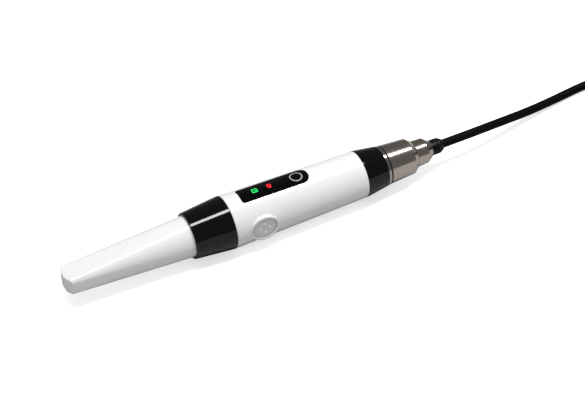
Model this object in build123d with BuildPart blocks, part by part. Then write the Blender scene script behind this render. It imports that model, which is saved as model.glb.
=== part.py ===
from build123d import *
import os
from math import cos, pi, radians, sin, sqrt, tan

os.makedirs("parts", exist_ok=True)

# An intraoral camera, in millimetres. It lies on its belly on the plane z = 0, with its axis along X,
# the tip at -X, the cable at +X, the display on top and the capture button on the -Y side.

# Lengths along the axis, from the tip to the cable
NOSE_LENGTH = 65.5
FRONT_COLLAR_LENGTH = 21.0
BODY_LENGTH = 73.6
REAR_COLLAR_LENGTH = 12.4
FLANGE_LENGTH = 1.4
GASKET_LENGTH = 0.8
RING_LENGTH = 13.9
RING_CHAMFER_LENGTH = 2.9
BACKSHELL_LENGTH = 6.2
BACKSHELL_CHAMFER_LENGTH = 3.2
RELIEF_LENGTH = 7.0

# Radii about the axis
NOSE_REAR_RADIUS = 10.55
COLLAR_FRONT_RADIUS = 11.9
COLLAR_REAR_RADIUS = 13.9
BODY_FRONT_RADIUS = 13.75
BODY_REAR_RADIUS = 12.25
REAR_COLLAR_FRONT_RADIUS = 12.4
REAR_COLLAR_REAR_RADIUS = 10.6
FLANGE_RADIUS = 10.4
RING_FRONT_RADIUS = 10.25
RING_REAR_RADIUS = 9.3
BACKSHELL_FRONT_RADIUS = 6.9
BACKSHELL_REAR_RADIUS = 6.6
BACKSHELL_END_RADIUS = 4.4
RELIEF_RADIUS = 4.1
RELIEF_END_RADIUS = 3.0
CABLE_RADIUS = 2.25

# The nose's blunt tip
TIP_WIDTH = 14.2
TIP_HEIGHT = 8.8
TIP_CORNER = 2.2
TIP_ROUND = 1.3
INNER_TIP_CORNER = 1.2
LOFT_MARGIN = 0.02
NOSE_WALL = 1.3
NOSE_SPIGOT = 7.6
NOSE_SPIGOT_BORE = 8.6

# Clearances between pieces, how far a cut runs past its piece, and the two plain edge roundings
FIT = 0.05
GAP = 0.1
OVERCUT = 1.0
EDGE_ROUND = 0.3
FINE_ROUND = 0.2
BOARD_CORNER = 1.0
BUTTON_GAP = 0.25

# The lens window under the tip and the camera module behind it
WINDOW_STATION = 9.2
WINDOW_LENGTH = 11.0
WINDOW_WIDTH = 7.6
WINDOW_THICKNESS = 1.0
WINDOW_OPENING_DEPTH = 1.7
LED_BOARD = (12.4, 7.8, 0.6)
LED_SIZE = 1.2
LED_HEIGHT = 0.4
LED_SPACING_X = 3.7
LED_SPACING_Y = 2.3
SIDE_LED_WIDTH = 0.72
SIDE_LED_AIR = 0.2
LED_BOARD_AIR = 0.15
BARREL_RADIUS = 2.1
BARREL_LENGTH = 3.1
LENS_RADIUS = 1.5
REAR_LENS_RADIUS = 1.2
LENS_THICKNESS = 0.8
LENS_CHAMFER = 0.15
APERTURE_RADIUS = 0.9
CARRIER = (9.0, 7.6, 2.7)
SENSOR = (3.2, 3.2, 0.5)
SENSOR_BOARD = (10.0, 8.0, 0.6)
FLEX_WIDTH = 5.0
FLEX_THICKNESS = 0.2

# Seals
O_RING_RADIUS = 0.45
O_RING_SETBACK = 3.6
BODY_SEAL_SETBACK = 2.6
SEAL_AIR = 0.01

# Body shell and its spigots
COLLAR_SPIGOT = 5.0
COLLAR_SPIGOT_RADIUS = 12.0
COLLAR_BORE = 9.8
BODY_FRONT_BORE = 11.7
BODY_REAR_BORE = 10.5
REAR_SPIGOT = 5.0
REAR_SPIGOT_RADIUS = 10.45
REAR_SPIGOT_BORE = 9.2
RIM_ROUND = 0.5

# The display window on top, set back from the body's front rim
DISPLAY_SETBACK = 4.6
DISPLAY_LENGTH = 40.6
DISPLAY_WIDTH = 10.6
DISPLAY_THICKNESS = 1.2
DISPLAY_FRONT_CORNER = 1.4
DISPLAY_REAR_CORNER = 4.4
DISPLAY_LEDGE = 1.0
DISPLAY_BOARD = (35.0, 8.6, 0.8)
DISPLAY_BOARD_SETBACK = 7.7
DISPLAY_BOARD_HEIGHT = 9.1
GREEN_ICON_SETBACK = 12.0
RED_ICON_SETBACK = 19.4
ICON_SIZE = 3.0
ICON_CORNER = 0.6
GUIDE_DEPTH = 2.6
STATUS_LED = (1.6, 1.6, 0.7)
TOUCH_SETBACK = 39.0
TOUCH_RING_RADIUS = 3.0
TOUCH_RING_STROKE = 0.5
TOUCH_RING_DEPTH = 0.3
TOUCH_PAD_RADIUS = 2.6
TOUCH_PAD_HEIGHT = 1.4
BARRIER = (14.0, 7.8, 1.2)

# The oval capture button on the side and the switch behind it
BUTTON_SETBACK = 14.7
BOSS_HALF_LENGTH = 7.7
BOSS_HALF_HEIGHT = 6.9
BOSS_REACH = 14.0
BOSS_ROOT = 8.7
BOSS_ROUND = 0.35
BUTTON_HALF_LENGTH = 6.4
BUTTON_HALF_HEIGHT = 5.4
BUTTON_FLANGE = 0.45
BUTTON_FLANGE_THICKNESS = 0.8
BUTTON_LIP = 1.6
BUTTON_POCKET = 3.6
BUTTON_FACE = 13.75
BUTTON_ROUND = 0.5
BUTTON_BACK = 11.5
BUTTON_TRAVEL = 0.6
BUTTON_LINE_INSET = 1.0
BUTTON_LINE_WIDTH = 0.25
BUTTON_LINE_DEPTH = 0.15
DOT_RADIUS = 0.35
DOT_HEIGHT = 0.15
DOT_TAPER = 20.0
DOT_SPREAD_X = 2.4
DOT_SPREAD_Z = 2.6
PLUNGER_RADIUS = 1.1
PLUNGER_LENGTH = 2.5
SWITCH = (4.5, 4.5, 1.8)
BUTTON_BOARD = (12.0, 9.4, 0.8)
PAD_HALF_LENGTH = 5.6
PAD_HALF_HEIGHT = 4.5
PAD_WALL = 1.2

# The chassis and the boards inside the body
CHASSIS_FRONT_SETBACK = 5.9
CHASSIS_LENGTH = 62.0
BULKHEAD_THICKNESS = 1.5
TRAY_HALF_WIDTH = 7.2
TRAY_BOTTOM = -6.6
TRAY_THICKNESS = 1.2
RAIL_THICKNESS = 1.2
RAIL_TOP = 5.0
STANDOFF_RADIUS = 1.3
STANDOFF_HEIGHT = 1.2
RIB_SETBACKS = (9.0, 25.0, 41.0)
RIB_THICKNESS = 2.0
RIB_HEIGHT = 1.5
POST_SPACING = 6.0
POST_SIZE = 2.0
FLEX_SLOT = (6.4, 1.8)
WIRE_HOLE_RADIUS = 5.0
BOARD_SETBACK = 10.0
BOARD = (52.0, 11.8, 1.0)
SCREW_SETBACKS = (17.0, 52.0)
SCREW_SPACING = 8.8
SCREW_RADIUS = 0.7
SCREW_LENGTH = 2.6
SCREW_HEAD_RADIUS = 1.2
SCREW_HEAD_HEIGHT = 0.8
FLEX_SOCKET = (2.6, 7.0, 1.2)
FLEX_SOCKET_SETBACK = 12.5
PROCESSOR = (9.0, 9.0, 1.1)
PROCESSOR_SETBACK = 26.0
MEMORY = (5.0, 8.0, 0.9)
MEMORY_SETBACK = 35.0
CONTROLLER = (6.0, 6.0, 0.9)
CONTROLLER_SETBACK = 43.0
WIRE_HEADER = (4.0, 8.0, 2.5)
WIRE_HEADER_SETBACK = 58.0

# The connector: receptacle on the camera, plug on the cable, bayonet ring between them
RECEPTACLE_RADIUS = 7.5
RECEPTACLE_BORE = 6.2
RECEPTACLE_REACH = 6.5
REAR_WALL = 3.0
NUT_ACROSS_FLATS = 15.6
NUT_THICKNESS = 3.0
SOCKET_RADIUS = 8.3
SOCKET_BORE = 7.3
SOCKET_LENGTH = 10.5
SOCKET_FLOOR_STATION = 1.0
INSULATOR_LENGTH = 8.5
PLUG_TUBE_BORE = 6.4
PLUG_SHOULDER_RADIUS = 8.2
PLUG_SHOULDER_LENGTH = 1.5
PLUG_NECK_RADIUS = 6.2
PLUG_NECK_BORE = 5.2
PLUG_THREAD_LENGTH = 2.4
PLUG_END_AIR = 0.4
PLUG_INSULATOR_INSET = 1.2
PIN_COUNT = 5
PIN_RADIUS = 0.5
PIN_CIRCLE = 3.5
PIN_LENGTH = 17.5
PIN_TAIL = 2.0
SOCKET_HOLE_RADIUS = 0.6
CUP_LENGTH = 7.0
CUP_SHOWING = 1.5
GASKET_INSET = 0.5
LUG_COUNT = 3
LUG_LENGTH = 2.0
LUG_HEIGHT = 0.8
LUG_ARC = 12.0
LUG_STATION = 7.0
LUG_ROOT = 0.3
BAYONET_TURN = 60.0
SLOT_MARGIN = 2.5
SPRING_THICKNESS = 0.4
SPRING_ROOM = 2.3
SPRING_INNER_AIR = 0.2
SPRING_OUTER_AIR = 0.15
CLAMP_LENGTH = 3.4
CLAMP_RADIUS = 4.9
CLAMP_SLOTS = 4
CLAMP_SLOT_WIDTH = 0.6
CLAMP_SLOT_LENGTH = 2.4
CLAMP_WALL = 0.8
CABLE_GRIP = 2.4
RELIEF_FLANGE_LENGTH = 1.0
RELIEF_FLANGE_RADIUS = 4.8
RELIEF_NECK_RADIUS = 3.6
RELIEF_NOTCH_WIDTH = 0.6
RELIEF_NOTCH_DEPTH = 0.7
RELIEF_NOTCH_STATIONS = (1.5, 3.3)
RELIEF_NOSE = 1.8
RELIEF_DRAFT = 0.1

# The put-away hank: turns in columns and layers, with a drawn-in waist under the tie
HANK_SETBACK = 146.0
HANK_HALF_LENGTH = 30.0
HANK_LOOP = 18.0
HANK_WAIST = 6.9
HANK_WAIST_HALF_LENGTH = 12.0
HANK_COLUMNS = 2
HANK_LAYERS = 4
TIE_SETBACK = 8.0
TIE_WIDTH = 8.0
TIE_THICKNESS = 0.8
TIE_AIR = 0.4
TIE_CORNER = 2.0
TIE_INNER_CORNER = 0.5

# The USB plug at the far end
PLUG_SETBACK = 13.0
OVERMOULD = (22.0, 15.5, 8.0)
OVERMOULD_CORNER = 2.0
OVERMOULD_ROUND = 0.6
USB_RELIEF_LENGTH = 6.0
USB_RELIEF_RADIUS = 3.4
USB_RELIEF_WALL = 0.6
USB_SHELL = (12.0, 12.0, 4.5)
USB_SHELL_WALL = 0.35
USB_SHELL_CORNER = 0.4
USB_TONGUE = (10.5, 11.0, 1.9)
USB_HOLE = (2.2, 2.4)
USB_HOLE_SETBACK = 5.2
USB_HOLE_SPACING = 4.6

# Stations and reference planes, all from the lengths above
TOTAL_LENGTH = (
    NOSE_LENGTH
    + FRONT_COLLAR_LENGTH
    + BODY_LENGTH
    + REAR_COLLAR_LENGTH
    + FLANGE_LENGTH
    + GASKET_LENGTH
    + RING_LENGTH
    + RING_CHAMFER_LENGTH
    + BACKSHELL_LENGTH
    + BACKSHELL_CHAMFER_LENGTH
    + RELIEF_LENGTH
)
X_TIP = -TOTAL_LENGTH / 2
X_COLLAR = X_TIP + NOSE_LENGTH
X_BODY = X_COLLAR + FRONT_COLLAR_LENGTH
X_REAR = X_BODY + BODY_LENGTH
X_FLANGE = X_REAR + REAR_COLLAR_LENGTH
X_GASKET = X_FLANGE + FLANGE_LENGTH
X_RING = X_GASKET + GASKET_LENGTH
X_RING_CHAMFER = X_RING + RING_LENGTH
X_BACKSHELL = X_RING_CHAMFER + RING_CHAMFER_LENGTH
X_BACKSHELL_CHAMFER = X_BACKSHELL + BACKSHELL_LENGTH
X_RELIEF = X_BACKSHELL_CHAMFER + BACKSHELL_CHAMFER_LENGTH
X_EXIT = X_RELIEF + RELIEF_LENGTH
AXIS_Z = max(COLLAR_REAR_RADIUS, BODY_FRONT_RADIUS)
AXIS = Axis((0, 0, AXIS_Z), (1, 0, 0))
AXIAL = Plane(origin=(0, 0, AXIS_Z), x_dir=(1, 0, 0), z_dir=(0, -1, 0))


def across(x):
    """The plane square to the axis at a station, facing the cable."""
    return Plane(origin=(x, 0, AXIS_Z), x_dir=(0, 1, 0), z_dir=(1, 0, 0))


def level(x, height):
    """The level plane at a height above the axis, centred on a station."""
    return Plane(origin=(x, 0, AXIS_Z + height), x_dir=(1, 0, 0), z_dir=(0, 0, 1))


def side(reach):
    """The upright plane on the button's side of the axis, facing away from it."""
    x = X_BODY + BUTTON_SETBACK
    return Plane(origin=(x, -reach, AXIS_Z), x_dir=(1, 0, 0), z_dir=(0, -1, 0))


def section(*corners):
    """A closed outline through the axis: (station, radius) corners, each with an optional rounding."""
    with BuildSketch(AXIAL) as outline:
        with BuildLine():
            FilletPolyline(
                *[c[:2] for c in corners],
                radius=[c[2] if len(c) > 2 else 0 for c in corners],
                close=True,
            )
        make_face()
    return outline.sketch


def body_radius(x):
    """Outer radius of the body's cone at a station."""
    return BODY_FRONT_RADIUS + (BODY_REAR_RADIUS - BODY_FRONT_RADIUS) * (x - X_BODY) / BODY_LENGTH


def body_bore(x):
    """Inner radius of the body's cone at a station."""
    front, rear = X_BODY + COLLAR_SPIGOT, X_REAR - REAR_SPIGOT
    return BODY_FRONT_BORE + (BODY_REAR_BORE - BODY_FRONT_BORE) * (x - front) / (rear - front)


def write(piece, name):
    """Labels a finished piece and writes it as its own file."""
    piece.part.label = name
    export_step(piece.part, f"parts/{name}.step")


# Nose: one moulding that runs from a blunt flat tip to a round spigot in the collar
NOSE_TAPER = (NOSE_REAR_RADIUS - TIP_HEIGHT / 2) / NOSE_LENGTH
INNER_TIP = X_TIP + NOSE_WALL
TIP_PLANE = Plane(
    origin=(
        X_TIP + WINDOW_STATION,
        0,
        AXIS_Z - TIP_HEIGHT / 2 - NOSE_TAPER * WINDOW_STATION,
    ),
    x_dir=(1, 0, -NOSE_TAPER),
    z_dir=(NOSE_TAPER, 0, 1),
)
X_NOSE_SEAL = X_COLLAR + O_RING_SETBACK

with BuildPart() as nose_shell:
    with BuildSketch(across(X_TIP)):
        RectangleRounded(TIP_WIDTH, TIP_HEIGHT, TIP_CORNER)
    with BuildSketch(across(X_COLLAR)):
        RectangleRounded(
            2 * NOSE_REAR_RADIUS, 2 * NOSE_REAR_RADIUS, NOSE_REAR_RADIUS - LOFT_MARGIN
        )
    loft(ruled=True)
    fillet(nose_shell.faces().sort_by(Axis.X)[0].edges(), radius=TIP_ROUND)
    with BuildSketch(across(X_COLLAR)):
        Circle(NOSE_REAR_RADIUS)
    extrude(amount=NOSE_SPIGOT)
    with BuildSketch(across(INNER_TIP)):
        RectangleRounded(
            TIP_WIDTH - 2 * NOSE_WALL, TIP_HEIGHT - 2 * NOSE_WALL, INNER_TIP_CORNER
        )
    with BuildSketch(across(X_COLLAR)):
        RectangleRounded(
            2 * (NOSE_REAR_RADIUS - NOSE_WALL),
            2 * (NOSE_REAR_RADIUS - NOSE_WALL),
            NOSE_REAR_RADIUS - NOSE_WALL - LOFT_MARGIN,
        )
    loft(ruled=True, mode=Mode.SUBTRACT)
    with BuildSketch(across(X_COLLAR - FIT)):
        Circle(NOSE_SPIGOT_BORE)
    extrude(amount=NOSE_SPIGOT + OVERCUT, mode=Mode.SUBTRACT)
    revolve(
        section(
            (X_NOSE_SEAL - O_RING_RADIUS - FIT, NOSE_REAR_RADIUS - 2 * O_RING_RADIUS - FIT),
            (X_NOSE_SEAL + O_RING_RADIUS + FIT, NOSE_REAR_RADIUS - 2 * O_RING_RADIUS - FIT),
            (X_NOSE_SEAL + O_RING_RADIUS + FIT, NOSE_REAR_RADIUS + OVERCUT),
            (X_NOSE_SEAL - O_RING_RADIUS - FIT, NOSE_REAR_RADIUS + OVERCUT),
        ),
        axis=AXIS,
        mode=Mode.SUBTRACT,
    )
    with BuildSketch(TIP_PLANE.offset(-OVERCUT)):
        SlotOverall(WINDOW_LENGTH + 2 * FIT, WINDOW_WIDTH + 2 * FIT)
    extrude(amount=OVERCUT + WINDOW_OPENING_DEPTH, mode=Mode.SUBTRACT)
write(nose_shell, "nose_shell")


def seal(x, outer_radius):
    """A rubber O-ring whose outside lies at a radius about the axis."""
    with BuildPart() as ring:
        with BuildSketch(AXIAL):
            with Locations((x, outer_radius - O_RING_RADIUS)):
                Circle(O_RING_RADIUS)
        revolve(axis=AXIS)
    return ring


write(seal(X_NOSE_SEAL, NOSE_REAR_RADIUS - SEAL_AIR), "nose_o_ring")

# Camera module: the heights are counted inwards from the outside of the nose's underside
BOARD_LEVEL = NOSE_WALL + LED_BOARD_AIR
CARRIER_LEVEL = BOARD_LEVEL + LED_BOARD[2]
SENSOR_BOARD_LEVEL = CARRIER_LEVEL + CARRIER[2] + FIT
SENSOR_LEVEL = SENSOR_BOARD_LEVEL - SENSOR[2]
BARREL_LEVEL = WINDOW_THICKNESS + FIT

with BuildPart() as tip_window:
    with BuildSketch(TIP_PLANE):
        SlotOverall(WINDOW_LENGTH, WINDOW_WIDTH)
    extrude(amount=WINDOW_THICKNESS)
write(tip_window, "tip_window")

with BuildPart() as led_board:
    with BuildSketch(TIP_PLANE.offset(BOARD_LEVEL)):
        RectangleRounded(LED_BOARD[0], LED_BOARD[1], BOARD_CORNER)
        Circle(BARREL_RADIUS + FIT, mode=Mode.SUBTRACT)
    extrude(amount=LED_BOARD[2])
write(led_board, "led_board")

with BuildPart() as illumination_leds:
    with BuildSketch(TIP_PLANE.offset(BOARD_LEVEL - LED_HEIGHT)):
        with GridLocations(2 * LED_SPACING_X, LED_SPACING_Y, 2, 2):
            Rectangle(LED_SIZE, LED_SIZE)
        with GridLocations(0, 2 * (BARREL_RADIUS + LED_SIZE / 2 + SIDE_LED_AIR), 1, 2):
            Rectangle(LED_SIZE, SIDE_LED_WIDTH)
    extrude(amount=LED_HEIGHT)
write(illumination_leds, "illumination_leds")

with BuildPart() as lens_barrel:
    with BuildSketch(TIP_PLANE.offset(BARREL_LEVEL)):
        Circle(BARREL_RADIUS)
    extrude(amount=BARREL_LENGTH)
    with BuildSketch(TIP_PLANE.offset(BARREL_LEVEL)):
        Circle(LENS_RADIUS + FIT)
    extrude(amount=LENS_THICKNESS + FIT, mode=Mode.SUBTRACT)
    with BuildSketch(TIP_PLANE.offset(BARREL_LEVEL)):
        Circle(APERTURE_RADIUS)
    extrude(amount=BARREL_LENGTH, mode=Mode.SUBTRACT)
    with BuildSketch(TIP_PLANE.offset(BARREL_LEVEL + BARREL_LENGTH - LENS_THICKNESS - FIT)):
        Circle(REAR_LENS_RADIUS + FIT)
    extrude(amount=LENS_THICKNESS + 2 * FIT, mode=Mode.SUBTRACT)
write(lens_barrel, "lens_barrel")

with BuildPart() as front_lens:
    with BuildSketch(TIP_PLANE.offset(BARREL_LEVEL + FIT)):
        Circle(LENS_RADIUS)
    extrude(amount=LENS_THICKNESS)
    chamfer(front_lens.edges().group_by(Axis.Z)[0], length=LENS_CHAMFER)
write(front_lens, "front_lens")

with BuildPart() as rear_lens:
    with BuildSketch(TIP_PLANE.offset(BARREL_LEVEL + BARREL_LENGTH - LENS_THICKNESS)):
        Circle(REAR_LENS_RADIUS)
    extrude(amount=LENS_THICKNESS)
write(rear_lens, "rear_lens")

with BuildPart() as optic_carrier:
    with BuildSketch(TIP_PLANE.offset(CARRIER_LEVEL)):
        Rectangle(CARRIER[0], CARRIER[1])
        Circle(BARREL_RADIUS + FIT, mode=Mode.SUBTRACT)
    extrude(amount=CARRIER[2])
    with BuildSketch(TIP_PLANE.offset(SENSOR_LEVEL - FIT)):
        Rectangle(SENSOR[0] + 2 * GAP, SENSOR[1] + 2 * GAP)
    extrude(amount=SENSOR[2] + OVERCUT, mode=Mode.SUBTRACT)
write(optic_carrier, "optic_carrier")

with BuildPart() as image_sensor:
    with BuildSketch(TIP_PLANE.offset(SENSOR_LEVEL)):
        Rectangle(SENSOR[0], SENSOR[1])
    extrude(amount=SENSOR[2])
write(image_sensor, "image_sensor")

with BuildPart() as sensor_board:
    with BuildSketch(TIP_PLANE.offset(SENSOR_BOARD_LEVEL)):
        Rectangle(SENSOR_BOARD[0], SENSOR_BOARD[1])
    extrude(amount=SENSOR_BOARD[2])
write(sensor_board, "sensor_board")

# Front collar: a black cone with a bore for the nose and a spigot for the body
X_BODY_SEAL = X_BODY + BODY_SEAL_SETBACK
X_NOSE_STOP = X_COLLAR + NOSE_SPIGOT + GAP
SEAL_FLOOR = COLLAR_SPIGOT_RADIUS - 2 * O_RING_RADIUS - FIT

with BuildPart() as front_collar:
    revolve(
        section(
            (X_COLLAR, NOSE_REAR_RADIUS + FIT),
            (X_COLLAR, COLLAR_FRONT_RADIUS, EDGE_ROUND),
            (X_BODY, COLLAR_REAR_RADIUS, EDGE_ROUND),
            (X_BODY, COLLAR_SPIGOT_RADIUS),
            (X_BODY_SEAL - O_RING_RADIUS - FIT, COLLAR_SPIGOT_RADIUS),
            (X_BODY_SEAL - O_RING_RADIUS - FIT, SEAL_FLOOR),
            (X_BODY_SEAL + O_RING_RADIUS + FIT, SEAL_FLOOR),
            (X_BODY_SEAL + O_RING_RADIUS + FIT, COLLAR_SPIGOT_RADIUS),
            (X_BODY + COLLAR_SPIGOT, COLLAR_SPIGOT_RADIUS, EDGE_ROUND),
            (X_BODY + COLLAR_SPIGOT, COLLAR_BORE),
            (X_NOSE_STOP, COLLAR_BORE),
            (X_NOSE_STOP, NOSE_REAR_RADIUS + FIT),
        ),
        axis=AXIS,
    )
write(front_collar, "front_collar")
write(seal(X_BODY_SEAL, COLLAR_SPIGOT_RADIUS - SEAL_AIR), "collar_o_ring")

# Body shell, with the display's recess on top and the button's oval boss on the side
X_DISPLAY = X_BODY + DISPLAY_SETBACK + DISPLAY_LENGTH / 2
X_GREEN = X_BODY + GREEN_ICON_SETBACK
X_RED = X_BODY + RED_ICON_SETBACK
X_TOUCH = X_BODY + TOUCH_SETBACK


def display_outline(margin):
    """The display window's plan: tight corners in front, a wide round end behind."""
    with BuildSketch() as plan:
        Rectangle(DISPLAY_LENGTH + 2 * margin, DISPLAY_WIDTH + 2 * margin)
        corners = plan.vertices().group_by(Axis.X)
        fillet(corners[0], radius=DISPLAY_FRONT_CORNER + margin)
        corners = plan.vertices().group_by(Axis.X)
        fillet(corners[-1], radius=DISPLAY_REAR_CORNER + margin)
    return plan.sketch


def body_layer(top, bottom):
    """The layer of the body's cone between two depths under its outside, as an outline."""
    x_front, x_back = X_BODY - OVERCUT, X_REAR + OVERCUT
    return section(
        (x_front, body_radius(x_front) - top),
        (x_back, body_radius(x_back) - top),
        (x_back, body_radius(x_back) - bottom),
        (x_front, body_radius(x_front) - bottom),
    )


def curved_plate(plan, x, top, bottom):
    """What a plan outline at a station cuts out of a layer of the body's cone."""
    with BuildPart() as plate:
        with BuildSketch(level(x, 0)):
            add(plan)
        extrude(amount=2 * BODY_FRONT_RADIUS)
        revolve(body_layer(top, bottom), axis=AXIS, mode=Mode.INTERSECT)
    return plate.part


def icon_outline(margin):
    """A status icon's plan: a small rounded square."""
    with BuildSketch() as plan:
        RectangleRounded(ICON_SIZE + 2 * margin, ICON_SIZE + 2 * margin, ICON_CORNER + margin)
    return plan.sketch


def ring_outline(radius, stroke):
    """A flat ring's plan."""
    with BuildSketch() as plan:
        Circle(radius + stroke / 2)
        Circle(radius - stroke / 2, mode=Mode.SUBTRACT)
    return plan.sketch


with BuildPart() as body_shell:
    revolve(
        section(
            (X_BODY, 0),
            (X_BODY, body_radius(X_BODY), RIM_ROUND),
            (X_REAR, body_radius(X_REAR), RIM_ROUND),
            (X_REAR, 0),
        ),
        axis=AXIS,
    )
    with BuildSketch(side(BOSS_ROOT)):
        Ellipse(BOSS_HALF_LENGTH, BOSS_HALF_HEIGHT)
    extrude(amount=BOSS_REACH - BOSS_ROOT)
    fillet(body_shell.edges().group_by(Axis.Y)[0], radius=BOSS_ROUND)
    revolve(
        section(
            (X_BODY - OVERCUT, 0),
            (X_BODY - OVERCUT, COLLAR_SPIGOT_RADIUS + FIT),
            (X_BODY + COLLAR_SPIGOT + GAP, COLLAR_SPIGOT_RADIUS + FIT),
            (X_BODY + COLLAR_SPIGOT + GAP, body_bore(X_BODY + COLLAR_SPIGOT)),
            (X_REAR - REAR_SPIGOT, BODY_REAR_BORE),
            (X_REAR + OVERCUT, BODY_REAR_BORE),
            (X_REAR + OVERCUT, 0),
        ),
        axis=AXIS,
        mode=Mode.SUBTRACT,
    )
    with BuildSketch(side(BOSS_REACH + OVERCUT)):
        Ellipse(BUTTON_HALF_LENGTH + BUTTON_GAP, BUTTON_HALF_HEIGHT + BUTTON_GAP)
    extrude(amount=-BUTTON_LIP - 2 * OVERCUT, mode=Mode.SUBTRACT)
    with BuildSketch(side(BOSS_REACH - BUTTON_LIP)):
        Ellipse(
            BUTTON_HALF_LENGTH + BUTTON_FLANGE + GAP, BUTTON_HALF_HEIGHT + BUTTON_FLANGE + GAP
        )
    extrude(amount=-BUTTON_POCKET, mode=Mode.SUBTRACT)
    add(
        curved_plate(display_outline(FIT), X_DISPLAY, -OVERCUT, DISPLAY_THICKNESS + FIT),
        mode=Mode.SUBTRACT,
    )
    with BuildSketch(level(X_DISPLAY, 0)):
        add(display_outline(-DISPLAY_LEDGE))
    extrude(amount=2 * BODY_FRONT_RADIUS, mode=Mode.SUBTRACT)
write(body_shell, "body_shell")

# Display window, with holes for the two light guides and a shallow groove for the touch ring
with BuildPart() as display_window:
    add(curved_plate(display_outline(0), X_DISPLAY, 0, DISPLAY_THICKNESS))
    for x in (X_GREEN, X_RED):
        with BuildSketch(level(x, 0)):
            add(icon_outline(FIT))
        extrude(amount=2 * BODY_FRONT_RADIUS, mode=Mode.SUBTRACT)
    add(
        curved_plate(
            ring_outline(TOUCH_RING_RADIUS, TOUCH_RING_STROKE + 2 * FIT),
            X_TOUCH,
            -OVERCUT,
            TOUCH_RING_DEPTH + FIT,
        ),
        mode=Mode.SUBTRACT,
    )
write(display_window, "display_window")

for x, name in ((X_GREEN, "green_light_guide"), (X_RED, "red_light_guide")):
    with BuildPart() as light_guide:
        add(curved_plate(icon_outline(0), x, 0, GUIDE_DEPTH))
    write(light_guide, name)

with BuildPart() as touch_ring:
    add(
        curved_plate(ring_outline(TOUCH_RING_RADIUS, TOUCH_RING_STROKE), X_TOUCH, 0, TOUCH_RING_DEPTH)
    )
write(touch_ring, "touch_ring")

# Display board under the window, with the status LEDs, their light barrier and the touch pad
DISPLAY_BOARD_TOP = DISPLAY_BOARD_HEIGHT + DISPLAY_BOARD[2]
X_DISPLAY_BOARD = X_BODY + DISPLAY_BOARD_SETBACK + DISPLAY_BOARD[0] / 2


def slab(x, height, size):
    """A flat rounded slab that stands at a height above the axis, centred on a station."""
    with BuildPart() as piece:
        with BuildSketch(level(x, height)):
            RectangleRounded(size[0], size[1], EDGE_ROUND)
        extrude(amount=size[2])
    return piece


write(slab(X_DISPLAY_BOARD, DISPLAY_BOARD_HEIGHT, DISPLAY_BOARD), "display_board")

with BuildPart() as status_leds:
    for x in (X_GREEN, X_RED):
        with BuildSketch(level(x, DISPLAY_BOARD_TOP)):
            Rectangle(STATUS_LED[0], STATUS_LED[1])
        extrude(amount=STATUS_LED[2])
write(status_leds, "status_leds")

with BuildPart() as light_barrier:
    with BuildSketch(level((X_GREEN + X_RED) / 2, DISPLAY_BOARD_TOP)):
        RectangleRounded(BARRIER[0], BARRIER[1], ICON_CORNER)
        with GridLocations(X_RED - X_GREEN, 0, 2, 1):
            RectangleRounded(ICON_SIZE + 2 * GAP, ICON_SIZE + 2 * GAP, ICON_CORNER, mode=Mode.SUBTRACT)
    extrude(amount=BARRIER[2])
write(light_barrier, "light_barrier")

with BuildPart() as touch_pad:
    with BuildSketch(level(X_TOUCH, DISPLAY_BOARD_TOP)):
        Circle(TOUCH_PAD_RADIUS)
    extrude(amount=TOUCH_PAD_HEIGHT)
write(touch_pad, "touch_pad")

# Capture button: an oval cap with a thin line and four dots, kept in by a flange behind the boss
BUTTON_BOARD_REACH = TRAY_HALF_WIDTH
SWITCH_REACH = BUTTON_BOARD_REACH + BUTTON_BOARD[2]

with BuildPart() as capture_button:
    with BuildSketch(side(BUTTON_BACK)):
        Ellipse(BUTTON_HALF_LENGTH, BUTTON_HALF_HEIGHT)
    extrude(amount=BUTTON_FACE - BUTTON_BACK)
    fillet(capture_button.edges().group_by(Axis.Y)[0], radius=BUTTON_ROUND)
    with BuildSketch(side(BUTTON_BACK)):
        Ellipse(BUTTON_HALF_LENGTH + BUTTON_FLANGE, BUTTON_HALF_HEIGHT + BUTTON_FLANGE)
    extrude(amount=BUTTON_FLANGE_THICKNESS)
    with BuildSketch(side(BUTTON_FACE)):
        Ellipse(BUTTON_HALF_LENGTH - BUTTON_LINE_INSET, BUTTON_HALF_HEIGHT - BUTTON_LINE_INSET)
        Ellipse(
            BUTTON_HALF_LENGTH - BUTTON_LINE_INSET - BUTTON_LINE_WIDTH,
            BUTTON_HALF_HEIGHT - BUTTON_LINE_INSET - BUTTON_LINE_WIDTH,
            mode=Mode.SUBTRACT,
        )
    extrude(amount=-BUTTON_LINE_DEPTH, mode=Mode.SUBTRACT)
    with BuildSketch(side(BUTTON_FACE)):
        with Locations(
            (DOT_SPREAD_X, 0), (-DOT_SPREAD_X, 0), (0, DOT_SPREAD_Z), (0, -DOT_SPREAD_Z)
        ):
            Circle(DOT_RADIUS)
    extrude(amount=DOT_HEIGHT, taper=DOT_TAPER)
write(capture_button, "capture_button")

with BuildPart() as switch_plunger:
    with BuildSketch(side(BUTTON_BACK)):
        Circle(PLUNGER_RADIUS)
    extrude(amount=-PLUNGER_LENGTH)
write(switch_plunger, "switch_plunger")

with BuildPart() as tact_switch:
    with BuildSketch(side(SWITCH_REACH)):
        RectangleRounded(SWITCH[0], SWITCH[1], EDGE_ROUND)
    extrude(amount=SWITCH[2])
    with BuildSketch(side(BUTTON_BACK - PLUNGER_LENGTH - BUTTON_TRAVEL - FIT)):
        Circle(PLUNGER_RADIUS + FIT)
    extrude(amount=SWITCH[2] + OVERCUT, mode=Mode.SUBTRACT)
write(tact_switch, "tact_switch")

with BuildPart() as button_board:
    with BuildSketch(side(BUTTON_BOARD_REACH)):
        RectangleRounded(BUTTON_BOARD[0], BUTTON_BOARD[1], BOARD_CORNER)
    extrude(amount=BUTTON_BOARD[2])
write(button_board, "button_board")

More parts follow.
